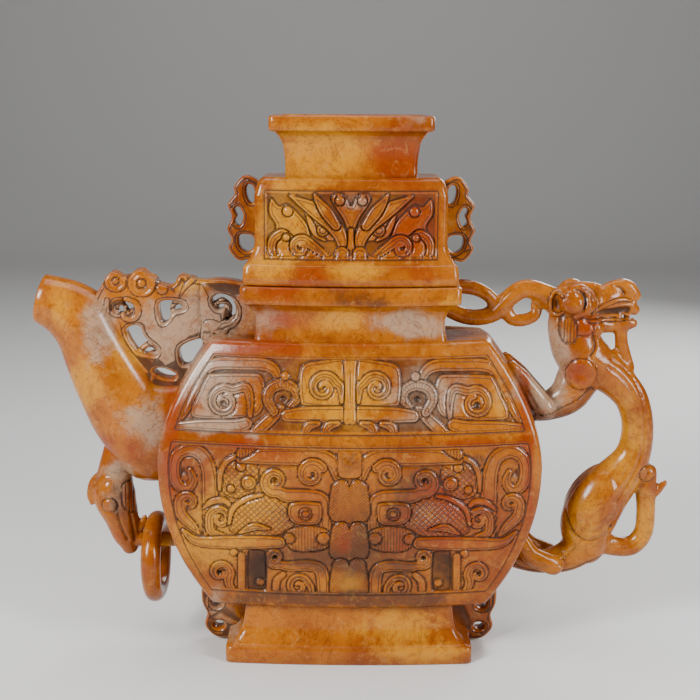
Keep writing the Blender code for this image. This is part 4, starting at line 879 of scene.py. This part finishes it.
strutStrokes = {
    "front eye": dict(bead=(115.6, 281, 11.5), top=0.55, cut=0.5, edge=0.9, moat=0.6),
    "back eye": dict(bead=(141.6, 283.4, 14), top=0.7, cut=0.5, edge=1.0, moat=0.6),
    "front ring": dict(way=curl(115.6, 281, 7, 7, 0, 360, 1.6, 1.6), groove=0.6),
    "back ring": dict(way=curl(141.6, 283.4, 9.5, 9.5, 0, 360, 1.8, 1.8), groove=0.65),
    "front pupil": dict(bead=(115.6, 281, 3.6), top=0.75, cut=0.1, moat=0.4),
    "back pupil": dict(bead=(141.6, 283.4, 4.6), top=0.9, cut=0.1, moat=0.4),
    "back scroll": dict(bead=(162, 289, 6), top=0.5, cut=0.5, edge=1.0, moat=0.5),
    "snout curl": dict(way=curl(128.6, 312, 11.5, 3, 100, -440, 8, 4), top=0.45, cut=0.6, edge=0.9, moat=0.6),
    "horn": dict(way=[(180, 296, 2), (186, 286, 5), (193, 279, 6)], top=0.5, cut=0.4, edge=0.9, moat=0.5),
    "neck cut": dict(way=[(200, 282, 1.6), (200, 310, 2), (203, 336, 1.6)], groove=0.7),
    "big curl": dict(way=[(206, 342, 12), (209, 326, 13), (222, 330, 12)] +
                     curl(224, 311, 15, 12, 270, 200, 11, 6), top=0.4, cut=0.5, edge=1.0, moat=0.6,
                     lined=True),
    "front bar": dict(way=[(107, 300, 5), (106, 322, 8), (112, 345, 8), (122, 366, 5)], top=0.35, cut=0.4,
                      edge=0.9, moat=0.5, lined=True),
    "leg line": dict(way=[(150, 300, 1.4), (154, 322, 1.6), (164, 340, 1.6), (166, 358, 1.4)], groove=0.4),
}


def plateDetail(loops, form, strokes):
    # The plate's edges are rounded: y is scaled by the quarter round of the distance to the outline
    def detail(sheet, points):
        gap = np.full(len(points), farOff)
        for loop in loops:
            gap = np.minimum(gap, np.abs(loopDistance(points[:, 0], points[:, 2], loop)))
        share = np.sqrt(1 - (1 - np.clip(gap / plateEdge["over"], 0, 1)) ** 2)
        points[:, 1] *= plateEdge["thin"] + plateEdge["rest"] * share
        sheet["line"][:] = np.maximum(gap - form["lineInset"], incision["single"])
        carveAll(sheet, strokes, planeAt(-form["half"]))
        sheet["height"] = np.clip(sheet["height"], *plateEdge["heights"])
    return detail


def openwork(name, form, loops, strokes=None, curls=()):
    # A plate pierced by its inner loops, with its curls melted in and its strokes cut
    shells = [plateShell(name + " plate", loops[0], loops[1:], form["half"])] + list(curls)
    return figure(name, shells, form, plateDetail(loops, form, strokes or {}))


def mirrored(loop, sign):
    # x times the sign
    return np.asarray(loop, float) * (sign, 1)


footScroll = {"half": 4.0, "edge": ((-60, 29), (-64.3, 26), (-64.5, 18), (-62.4, 12.5), (-63.5, 7),
                                    (-59, 1.8), (-52, 1.2), (-42, 3), (-40, 16), (-42, 29)),
              "holes": ((-57.8, 18.6, 2.6, 3.2), (-57.2, 7.4, 2.5, 1.9)), "lineInset": 1.3, "voxel": 0.7,
              "smooth": 2, "budget": 1700}
lidEar = {"half": 3.6, "edge": ((-40, 203), (-44, 203.4), (-47.6, 198.8), (-47.2, 196.2), (-50.2, 192),
                                (-48.6, 187), (-50.6, 182), (-48.9, 177.8), (-50.2, 174), (-46.4, 169.2),
                                (-42, 169.7), (-35, 171.1), (-34.5, 186.3), (-35.5, 198.6)),
          "holes": (((-42, 200.1), (-39.6, 199.2), (-39, 193.9), (-41, 192.7), (-42.6, 196.5)),
                    ((-45.8, 191.3), (-43.8, 187.5), (-45.4, 183.4), (-47.4, 185), (-46.4, 187.5),
                     (-47.4, 190)),
                    ((-45.4, 179.7), (-40, 179.1), (-40, 174.4), (-42.8, 172.7), (-45.6, 175.2))),
          "lineInset": 1.2, "voxel": 0.5, "smooth": 2, "budget": 6000}


def ovalLoop(x, z, wide, tall):
    # x + w cos a, z + t sin a
    angle = np.linspace(0, 2 * math.pi, 24, endpoint=False)
    return np.stack([x + wide * np.cos(angle), z + tall * np.sin(angle)], 1)


def buildPot(shade):
    print("body")
    shells = [bodyShell(), neckShell(), footShell(), spoutShell()]
    print("dragon")
    limbs = [limbShell(s) for s in dragon["limbs"]]
    limbs += [limbShell(s, y=sign * off) for s, off in dragon["pairs"] for sign in (-1, 1)]
    shells.append(figure("dragon", limbs, dragon, limbDetail(dragon, dragonStrokes)))
    print("bird")
    limbs = [limbShell(s, flat=f) for s, f in zip(bird["limbs"], bird["flats"])]
    shells.append(figure("bird", limbs, bird, limbDetail(bird, birdStrokes)))
    print("openwork")
    loops = [smoothLine(strut["edge"], 5, True)] + [smoothLine(h, 4, True) for h in strut["holes"]]
    curls = [limbShell(drawn(way, planeAt(strut["curlDepth"]), 1), flat=strut["curlFlat"])
             for way in strutCurls]
    shells.append(openwork("strut", strut, loops, strutStrokes, curls))
    for sign in (1, -1):
        loops = [smoothLine(footScroll["edge"], 5, True)] + [ovalLoop(*hole) for hole in footScroll["holes"]]
        shells.append(openwork("foot scroll", footScroll, [mirrored(loop, sign) for loop in loops]))
    addPiece("jadePot", joined(shells),
             ["body", "neck", "spout", "scroll_strut", "bird", "dragon_head", "dragon_body", "dragon_tail",
              "foot_scroll_left", "foot_scroll_right"], shade)


lid = {"bottom": 161.3, "moulding": 8.0, "edge": 0.8, "cove": 7.0, "top": 203.8, "halfWidth": 38.5,
       "halfDepth": 14.5, "topInset": 3.4, "crown": 7.0, "wall": 5.0, "bow": 4.0, "seat": (43.3, 18.1),
       "panel": (172.5, 198.3), "panelFrame": 4.6, "floor": 0.8, "flange": (152.3, 0.5, 3.0),
       "knobHalf": (26.4, 10.5), "knobTop": 227.8, "knobFlare": 6.1, "knobBow": 1.6, "knobWall": 4.0,
       "knobHollow": 18.0, "hollowTop": 198.8, "corner": 2.5, "columns": (230, 14, 120, 4), "knobCorner": 2.2,
       "knobColumns": (90, 24, 90, 5)}
lidFootCove = ((0.0, 1.0), (0.06, 0.86), (0.21, 0.66), (0.64, 0.25), (1.0, 0.0))
lidCrown = ((1.0, 0.0), (0.43, 0.3), (0.13, 0.62), (0.0, 1.0))
knobCurve = ((0.0, 0.0), (0.25, 0.0), (0.5, 0.12), (0.62, 0.3), (0.72, 0.62), (0.76, 0.95))
lidStrokes = {
    "cheek leaf": dict(outline=[(271, 198), (279, 206), (288, 204), (298, 213), (307, 224), (311, 236),
                                (319, 246), (331, 255), (337, 262), (316, 262.5), (294, 262.5), (276, 262),
                                (269, 250), (271, 236), (276, 226), (269, 213)], top=-0.05, crown=0.35,
                       lined=True, main=True),
    "leaf bead": dict(bead=(287.6, 211.4, 5.2), top=0.55),
    "temple curl": dict(way=[(281, 262, 4), (272, 252, 8), (273, 240, 9), (282, 233.5, 9), (290, 238, 7)],
                        top=0.15, lined=True, main=True),
    "temple bead": dict(bead=(286, 237.5, 4), top=0.6),
    "cheek scroll": dict(way=[(335, 262, 4), (321, 252, 8), (309, 243, 10)]
                         + curl(300.5, 247.5, 9.5, 2.5, 40, 420, 9, 5), top=0.2, lined=True, main=True),
    "eye": dict(outline=[(309, 217), (317, 220), (326, 222), (333, 229), (340, 242), (330, 241), (319, 240),
                         (312, 231)], top=-0.3, cut=1.1, crown=0.25, main=True),
    "eye fold": dict(way=[(307, 214, 3), (311, 224, 6), (316, 234, 6), (325, 240.5, 3)], top=0.3, main=True),
    "pupil": dict(bead=(323, 230.5, 6), top=0.55, cut=1.0, main=True),
    "pupil ring": dict(bead=(323, 230.5, 3), top=0.7, cut=0.1, moat=0.4),
    "long horn": dict(way=[(343, 252, 8), (341.5, 239, 12), (333, 225, 15), (319, 213, 16), (304, 204, 10),
                           (289, 195.5, 2)], lined=True, top=0.1, main=True),
    "short horn": dict(way=[(336, 226, 9), (327, 213, 12), (319.5, 203, 8), (313.5, 193, 2)], lined=True,
                       top=0.15, main=True),
    "crown": dict(outline=[(350.4, 234), (343, 219), (334.5, 206), (331.5, 198.5), (335.5, 193.6),
                           (343, 194.2), (348, 199.5), (350.4, 206), (352.8, 199.5), (357.8, 194.2),
                           (365.3, 193.6), (369.3, 198.5), (366.3, 206), (357.8, 219)], crown=0.4, lined=True,
                  top=0.15, main=True),
    "crown curl": dict(bead=(340, 201, 4.8), top=0.6),
    "bridge": dict(way=[(350.4, 230, 4), (350.4, 242, 5), (350.4, 258, 9)], top=0.35, main=True),
    "nostril": dict(bead=(342, 254.5, 7.4), top=0.55, cut=1.0, lined=True, main=True),
    "nostril eye": dict(hole=(343, 255.5, 1.6, 1.6), depth=0.7),
}


def lidFace(x, z):
    # half depth + bow (1 - (x / half width)^2)
    return lid["halfDepth"] + lid["bow"] * (1 - (x / lid["halfWidth"]) ** 2)


def carveLid(sheet, plain):
    # inset is the distance into the panel, as on the vessel
    x, z = sheet["x"], sheet["z"]
    inset = np.minimum(np.minimum(lid["halfWidth"] - lid["panelFrame"] + x, lid["panel"][1] - z),
                       z - lid["panel"][0])
    carvePanel(sheet, inset, lid["floor"], lidStrokes, faceOf(lidFace), plain, 0.2)


def lidShell():
    # Rows run down the hollow inside, round the flange, out under the seat and up the moulding to the top.
    # Each is a height and how far it stands in from the width and depth that it is measured from
    bottom, moulding, edge = lid["bottom"], lid["bottom"] + lid["moulding"], lid["edge"]
    flangeLow, clearance, flangeWall = lid["flange"]
    lidHalf = np.array([lid["halfWidth"], lid["halfDepth"]])
    mouth = np.array([neck["halfWidth"], neck["halfDepth"]]) - body["wall"]
    hollow, seat = lidHalf - lid["wall"], np.array(lid["seat"])
    inner = clearance + flangeWall
    rows = [(lid["hollowTop"], hollow, 0), (188, hollow, 0), (173.4, hollow, 0), (169.4, mouth, inner),
            (flangeLow + 0.4, mouth, inner), (flangeLow, mouth, inner - 0.6),
            (flangeLow, mouth, clearance + 0.6), (flangeLow + 0.5, mouth, clearance),
            (bottom, mouth, clearance), (bottom, seat, 0.6), (bottom + 0.5, seat, 0), (bottom + 3.5, seat, 0),
            (moulding - 0.8, seat, 0.3), (moulding - 0.1, seat, edge)]
    first = len(rows)
    rows += [(moulding + lid["cove"] * rise, lidHalf + (seat - edge - lidHalf) * reach, 0)
             for rise, reach in smoothLine(lidFootCove, 3)]
    rows += [(height, lidHalf, 0)
             for height in np.linspace(moulding + lid["cove"], lid["top"] - lid["crown"], 62)[1:-1]]
    rows += [(lid["top"] - lid["crown"] * drop, lidHalf, lid["topInset"] * inset)
             for drop, inset in smoothLine(lidCrown, 5)]
    rows.append((lid["top"], lidHalf, lid["topInset"] + 1.5))
    height = np.array([row[0] for row in rows], float)
    width, depth = np.array([row[1] - row[2] for row in rows]).T
    x, y, z = sectionRows(height, width, depth, lid["bow"], 0.0, lid["corner"], lid["columns"])
    sheet = carveFaces(x, y, z, slice(first, len(rows)), lid["columns"], carveLid)
    return gridShell(x, y, z, (0, 0, lid["hollowTop"]), (0, 0, lid["top"]), sheet=sheet)


def knobShell():
    # Rows from the middle of its foot up the flared outside, over the rim and down into the hollow: each is a
    # height, a share of the flare and how far it stands in
    base, top, wall = lid["top"] - 1.0, lid["knobTop"], lid["knobWall"]
    span = top - lid["top"]
    floor = top - lid["knobHollow"]
    rows = [(lid["top"] + span * rise, flare, 0.0) for rise, flare in smoothLine(knobCurve, 4)]
    rows[0] = (base, 0.0, 0.0)
    rows += [(lid["top"] + span * 0.79, 1.0, 0.0), (top - 0.8, 1.0, 0.0), (top - 0.25, 1.0, 0.25),
             (top, 1.0, 0.9), (top, 1.0, wall - 0.8), (top - 0.4, 1.0, wall), (top - 2.5, 0.7, wall),
             (top - 5.5, 0.3, wall), (top - 12, 0.0, wall), (floor + 1.5, 0.0, wall),
             (floor, 0.0, wall + 1.5)]
    table = np.array(rows)
    out = table[:, 1] * lid["knobFlare"] - table[:, 2]
    x, y, z = sectionRows(table[:, 0], lid["knobHalf"][0] + out, lid["knobHalf"][1] + out, lid["knobBow"],
                          0.0, lid["knobCorner"], lid["knobColumns"])
    return gridShell(x, y, z, (0, 0, base), (0, 0, floor))


def buildLid(shade):
    print("lid")
    shells = [lidShell(), knobShell()]
    for sign in (1, -1):
        loops = [smoothLine(lidEar["edge"], 5, True)] + [smoothLine(hole, 4, True)
                                                         for hole in lidEar["holes"]]
        shells.append(openwork("lid ear", lidEar, [mirrored(loop, sign) for loop in loops]))
    addPiece("jadeLid", joined(shells), ["lid", "lid_knob", "lid_ear_left", "lid_ear_right"], shade)


ringForm = {"place": (-84.3, 0.0, 38.35), "radius": 15.6, "tube": 4.2, "around": 110, "across": 36,
            "worn": 0.12}


def buildRing(shade):
    # A torus about the x axis whose tube is worn a little unevenly: r - w (1 + cos(3a + 1))
    print("ring")
    a = np.linspace(0, 2 * math.pi, ringForm["around"], endpoint=False)[:, None]
    b = np.linspace(0, 2 * math.pi, ringForm["across"], endpoint=False)[None]
    tube = ringForm["tube"] - ringForm["worn"] * (1 + np.cos(3 * a + 1.0))
    cx, cy, cz = ringForm["place"]
    reach = ringForm["radius"] + tube * np.cos(b)
    ring = gridShell(cx + tube * np.sin(b), cy + reach * np.cos(a), cz + reach * np.sin(a), closedRows=True)
    ring["quads"] = ring["quads"][:, ::-1]
    addPiece("jadeRing", ring, ["ring"], shade)


# Colours of the jade, and the near-black painted shade for its hollows and cut lines
jade = {"honey": (0.34, 0.102, 0.004), "amber": (0.20, 0.042, 0.002), "yellow": (0.46, 0.190, 0.008),
        "russet": (0.22, 0.030, 0.002), "pale": (0.31, 0.205, 0.130), "smoke": (0.060, 0.022, 0.010),
        "paintedShade": (0.010, 0.003, 0.001), "vein": (0.10, 0.016, 0.002), "cloud": (0.42, 0.21, 0.05)}
# Noises: scale, detail, roughness, distortion
clouds = {"broad": (28.0, 4.0, 0.6, 0.4), "middle": (95.0, 4.0, 0.62, 0.6), "fine": (420.0, 3.0, 0.6, 0.0),
          "pale": (210.0, 5.0, 0.7, 1.2), "drift": (150.0, 5.0, 0.7, 1.6), "vein": (60.0, 6.0, 0.65, 2.2)}
# Ramps: low, high, what low gives, what high gives
ramps = {"amber": (0.35, 0.65), "cloud": (0.52, 0.72, 0.0, 0.4), "drift": (0.50, 0.68, 0.0, 0.45),
         "vein": (0.0, 0.02, 0.5, 0.0), "fleck": (0.06, 0.22, 1.0, 0.0), "fleckPlace": (0.52, 0.62, 0.0, 0.7),
         "hollow": (-1.0, -0.42, 0.95, 0.0), "hollowPlace": (0.25, 0.7, 1.0, 0.55),
         "rough": (0.3, 0.8, 0.16, 0.27), "first": (0.10, 0.38, 1.0, 0.0), "second": (0.06, 0.26, 0.85, 0.0),
         "hatch": (0.04, 0.2, 1.0, 0.0), "hair": (0.05, 0.25, 0.8, 0.0)}
staining = {"Yellow": (0.15, 0.75, 0.0, 0.8), "Pale": (0.25, 0.85, 0.0, 0.85), "Smoke": (0.3, 0.8, 0.0, 0.8),
            "Russet": (0.15, 1.0, 0.0, 0.92)}
raggedness = {"broad": 0.9, "middle": 1.3, "fine": 0.5}
fleckScale = 520.0
# The second cut's distance in, hatches a metre, hairs a millimetre, how much painted shade the cuts get, and
# what the painted shade does to gloss
cutting = {"second": 1.25, "hatches": 400.0, "hairs": 0.8, "hatchDepth": 0.7, "paintedShade": 0.8, "rough": 0.32}
bumps = {"grain": {"Strength": 0.18, "Distance": 0.0006}, "cuts": {"Strength": 0.9, "Distance": 0.00032}}
finish = {"IOR": 1.5, "Specular IOR Level": 0.26, "Subsurface Weight": 0.15, "Subsurface Scale": 0.002,
          "Subsurface Radius": (1.0, 0.45, 0.15), "Coat Roughness": 0.07}
# The floor and the lights in metres; each light has its place, its size and its watts
studio = {"radius": 0.5, "floorDepth": 1.1, "floorFront": -1.6, "wall": 1.6, "halfWidth": 2.2,
          "paper": (0.62, 0.61, 0.60, 1), "paperRoughness": 0.7, "sky": (0.80, 0.81, 0.84, 1),
          "skyStrength": 0.11, "aim": (0, 0, 0.12)}
lights = {"key": ((-0.50, -0.46, 0.46), (0.20, 0.32), 9.5), "fill": ((0.58, -0.40, 0.34), (0.16, 0.40), 6.0),
          "top": ((0.0, 0.05, 0.95), (0.7, 0.5), 4.5), "rim": ((0.40, 0.60, 0.45), (0.3, 0.4), 4.0)}


def newNode(tree, kind, inputs=None, **settings):
    node = tree.nodes.new(kind)
    for key, value in settings.items():
        setattr(node, key, value)
    for key, value in (inputs or {}).items():
        if isinstance(value, bpy.types.NodeSocket):
            tree.links.new(value, node.inputs[key])
        else:
            node.inputs[key].default_value = value
    return node


def calc(tree, operation, a, b=0.0, clamp=False):
    return newNode(tree, "ShaderNodeMath", {0: a, 1: b}, operation=operation, use_clamp=clamp).outputs[0]


def plus(tree, a, b):
    return calc(tree, "ADD", a, b)


def times(tree, a, b):
    return calc(tree, "MULTIPLY", a, b)


def offMiddle(tree, value):
    # |value - 0.5|
    return calc(tree, "ABSOLUTE", calc(tree, "SUBTRACT", value, 0.5))


def stripes(tree, value, number):
    # |fract(value n) - 0.5|, which is nought along the middle of each gap
    return offMiddle(tree, calc(tree, "FRACT", times(tree, value, number)))


def ramp(tree, value, low, high, fromLow=0.0, fromHigh=1.0):
    # From low to high the value goes smoothly from the third number to the fourth
    return newNode(tree, "ShaderNodeMapRange", {"Value": value, "From Min": low, "From Max": high,
                                                "To Min": fromLow, "To Max": fromHigh},
                   interpolation_type="SMOOTHSTEP").outputs["Result"]


def mixColour(tree, share, a, b):
    node = newNode(tree, "ShaderNodeMix", data_type="RGBA")
    for index, value in ((0, share), (6, a), (7, b)):
        if isinstance(value, bpy.types.NodeSocket):
            tree.links.new(value, node.inputs[index])
        else:
            node.inputs[index].default_value = (*value, 1) if index else value
    return node.outputs[2]


def noise(tree, where, scale, detail, roughness, distortion):
    return newNode(tree, "ShaderNodeTexNoise", {"Vector": where, "Scale": scale, "Detail": detail,
                                                "Roughness": roughness,
                                                "Distortion": distortion}).outputs["Fac"]


def newGroup(name, values, outputs):
    # A group that takes a place and the named values
    tree = bpy.data.node_groups.new(name, "ShaderNodeTree")
    tree.interface.new_socket("Where", in_out="INPUT", socket_type="NodeSocketVector")
    for label in values:
        tree.interface.new_socket(label, in_out="INPUT", socket_type="NodeSocketFloat")
    for label, kind in outputs:
        tree.interface.new_socket(label, in_out="OUTPUT", socket_type=kind)
    return tree, newNode(tree, "NodeGroupInput"), newNode(tree, "NodeGroupOutput")


def stoneGroup():
    # Stains with ragged edges over clouded honey jade, then clouds, veins, flecks, and painted shade in the
    # hollows and along the cut lines
    tree, given, out = newGroup(
        "jadeStone", ("Russet", "Pale", "Smoke", "Yellow", "Height", "Line"),
        [("Color", "NodeSocketColor"), ("Rough", "NodeSocketFloat"), ("Clouds", "NodeSocketFloat")])
    where = given.outputs["Where"]
    cloud = {name: noise(tree, where, *form) for name, form in clouds.items()}
    colour = mixColour(tree, ramp(tree, cloud["broad"], *ramps["amber"]), jade["honey"], jade["amber"])
    ragged = plus(tree, times(tree, calc(tree, "SUBTRACT", cloud["middle"], 0.5), raggedness["middle"]),
                  times(tree, calc(tree, "SUBTRACT", cloud["fine"], 0.5), raggedness["fine"]))
    raggedBroad = plus(tree, ragged,
                       times(tree, calc(tree, "SUBTRACT", cloud["broad"], 0.5), raggedness["broad"]))
    for name, form in staining.items():
        stained = plus(tree, given.outputs[name], ragged if name == "Yellow" else raggedBroad)
        colour = mixColour(tree, ramp(tree, stained, *form), colour, jade[name.lower()])
    colour = mixColour(tree, ramp(tree, cloud["pale"], *ramps["cloud"]), colour, jade["cloud"])
    colour = mixColour(tree, ramp(tree, cloud["drift"], *ramps["drift"]), colour, jade["amber"])
    colour = mixColour(tree, ramp(tree, offMiddle(tree, cloud["vein"]), *ramps["vein"]), colour, jade["vein"])
    fleck = newNode(tree, "ShaderNodeTexVoronoi", {"Vector": where, "Scale": fleckScale}).outputs["Distance"]
    flecks = times(tree, ramp(tree, fleck, *ramps["fleck"]),
                   ramp(tree, cloud["middle"], *ramps["fleckPlace"]))
    colour = mixColour(tree, flecks, colour, jade["vein"])
    # Painted shade: the colour is pulled towards near black where the carving sinks low and along the cut
    # lines, as shade in the recesses; it also makes them rougher
    hollow = times(tree, ramp(tree, given.outputs["Height"], *ramps["hollow"]),
                   ramp(tree, cloud["middle"], *ramps["hollowPlace"]))
    paintedShade = calc(tree, "MAXIMUM", hollow, times(tree, given.outputs["Line"], cutting["paintedShade"]), clamp=True)
    tree.links.new(mixColour(tree, paintedShade, colour, jade["paintedShade"]), out.inputs["Color"])
    rough = plus(tree, ramp(tree, cloud["middle"], *ramps["rough"]), times(tree, paintedShade, cutting["rough"]))
    tree.links.new(rough, out.inputs["Rough"])
    tree.links.new(times(tree, plus(tree, cloud["middle"], cloud["fine"]), 0.5), out.inputs["Clouds"])
    return tree


def cuttingGroup():
    # A cut along each outline and a second inside it, hatching
    # crossed at 45 degrees and combed hairs, as one depth
    tree, given, out = newGroup("fineCutting", ("Line", "Hatch", "Hair", "Comb"),
                                [("Depth", "NodeSocketFloat"), ("Cut", "NodeSocketFloat")])
    line = given.outputs["Line"]
    first = ramp(tree, calc(tree, "ABSOLUTE", line), *ramps["first"])
    second = ramp(tree, calc(tree, "ABSOLUTE", plus(tree, line, cutting["second"])), *ramps["second"])
    apart = newNode(tree, "ShaderNodeSeparateXYZ", {0: given.outputs["Where"]})
    crossed = []
    for sign in (1, -1):
        slant = plus(tree, times(tree, apart.outputs["X"], sign), apart.outputs["Z"])
        crossed.append(ramp(tree, stripes(tree, slant, cutting["hatches"]), *ramps["hatch"]))
    hatch = times(tree, calc(tree, "MAXIMUM", *crossed), given.outputs["Hatch"])
    hairs = times(tree, ramp(tree, stripes(tree, given.outputs["Comb"], cutting["hairs"]), *ramps["hair"]),
                  given.outputs["Hair"])
    fine = calc(tree, "MAXIMUM", times(tree, hatch, cutting["hatchDepth"]), hairs)
    total = calc(tree, "MAXIMUM", calc(tree, "MAXIMUM", first, second), fine)
    tree.links.new(total, out.inputs["Cut"])
    tree.links.new(times(tree, total, -1.0), out.inputs["Depth"])
    return tree


def jadeMaterial(name, stone, cuts, shift, gloss):
    # One piece of the stone; shift moves the clouds so that pieces differ
    made = bpy.data.materials.new(name)
    made.use_nodes = True
    tree = made.node_tree
    shader = tree.nodes["Principled BSDF"]
    where = newNode(tree, "ShaderNodeTexCoord").outputs["Object"]
    moved = newNode(tree, "ShaderNodeMapping", {"Vector": where, "Location": shift}).outputs[0]
    read = {label.capitalize(): newNode(tree, "ShaderNodeAttribute", attribute_name=label).outputs["Fac"]
            for label in channels + tuple(stains)}
    carved = newNode(tree, "ShaderNodeGroup", node_tree=cuts)
    for label in ("Line", "Hatch", "Hair", "Comb"):
        tree.links.new(read[label], carved.inputs[label])
    tree.links.new(where, carved.inputs["Where"])
    grain = newNode(tree, "ShaderNodeGroup", node_tree=stone)
    for label in ("Russet", "Pale", "Smoke", "Yellow", "Height"):
        tree.links.new(read[label], grain.inputs[label])
    tree.links.new(moved, grain.inputs["Where"])
    # The cut mask goes to the stone, which paints shade along the cuts
    tree.links.new(carved.outputs["Cut"], grain.inputs["Line"])
    tree.links.new(grain.outputs["Color"], shader.inputs["Base Color"])
    tree.links.new(grain.outputs["Rough"], shader.inputs["Roughness"])
    grainBump = newNode(tree, "ShaderNodeBump", {**bumps["grain"], "Height": grain.outputs["Clouds"]})
    cutBump = newNode(tree, "ShaderNodeBump", {**bumps["cuts"], "Height": carved.outputs["Depth"],
                                              "Normal": grainBump.outputs[0]})
    tree.links.new(cutBump.outputs[0], shader.inputs["Normal"])
    for socket, value in {**finish, "Coat Weight": gloss}.items():
        shader.inputs[socket].default_value = value
    return made


def setStage():
    # A pale floor that curves up far behind in a quarter circle, soft lights and the camera of the photograph
    radius, depth, side = studio["radius"], studio["floorDepth"], studio["halfWidth"]
    t = np.linspace(0, math.pi / 2, 16)
    path = np.vstack([[(studio["floorFront"], 0.0)],
                      np.stack([depth + radius * np.sin(t), radius * (1 - np.cos(t))], 1),
                      [(depth + radius, radius + studio["wall"])]])
    x = np.repeat(np.array([[-side, side]]), len(path), 0)
    points = np.stack([x, np.repeat(path[:, :1], 2, 1), np.repeat(path[:, 1:], 2, 1)],
                      -1).reshape(-1, 3) * 1000
    r = np.arange(len(path) - 1) * 2
    floor = placed("floor", buildMesh("floor", np.stack([r, r + 1, r + 3, r + 2], 1), noFans, points))
    paper = bpy.data.materials.new("pale paper")
    paper.use_nodes = True
    shader = paper.node_tree.nodes["Principled BSDF"]
    shader.inputs["Base Color"].default_value = studio["paper"]
    shader.inputs["Roughness"].default_value = studio["paperRoughness"]
    floor.data.materials.append(paper)
    world = bpy.data.worlds.new("studio")
    world.use_nodes = True
    sky = world.node_tree.nodes["Background"]
    sky.inputs[0].default_value, sky.inputs[1].default_value = studio["sky"], studio["skyStrength"]
    bpy.context.scene.world = world
    for name, (place, size, power) in lights.items():
        lamp = bpy.data.lights.new(name, "AREA")
        lamp.shape = "RECTANGLE"
        lamp.size, lamp.size_y = size
        lamp.energy = power
        item = placed(name, lamp)
        item.location = place
        item.rotation_euler = (Vector(studio["aim"]) - item.location).to_track_quat("-Z", "Y").to_euler()
    camera = bpy.data.cameras.new("camera")
    camera.sensor_width = photo["sensor"]
    camera.lens = photo["focal"] / photo["size"] * photo["sensor"]
    camera.shift_x = (photo["size"] / 2 - photo["middle"][0]) / photo["size"]
    item = placed("camera", camera)
    turn = (Matrix.Rotation(math.radians(90 - photo["pitch"]), 4, "X")
            @ Matrix.Rotation(math.radians(photo["roll"]), 4, "Z"))
    place = (0.0, -photo["distance"] * pitchCos * 0.001,
             (photo["aim"] + photo["distance"] * pitchSin) * 0.001)
    item.matrix_world = Matrix.Translation(place) @ turn
    bpy.context.scene.camera = item


print("stage")
setStage()
stone, cuts = stoneGroup(), cuttingGroup()
buildPot(jadeMaterial("pot jade", stone, cuts, (0, 0, 0), 0.1))
buildLid(jadeMaterial("lid jade", stone, cuts, (0.11, 0.07, 0.03), 0.1))
buildRing(jadeMaterial("ring jade", stone, cuts, (-0.2, 0.05, 0.1), 0.12))
print("finished")
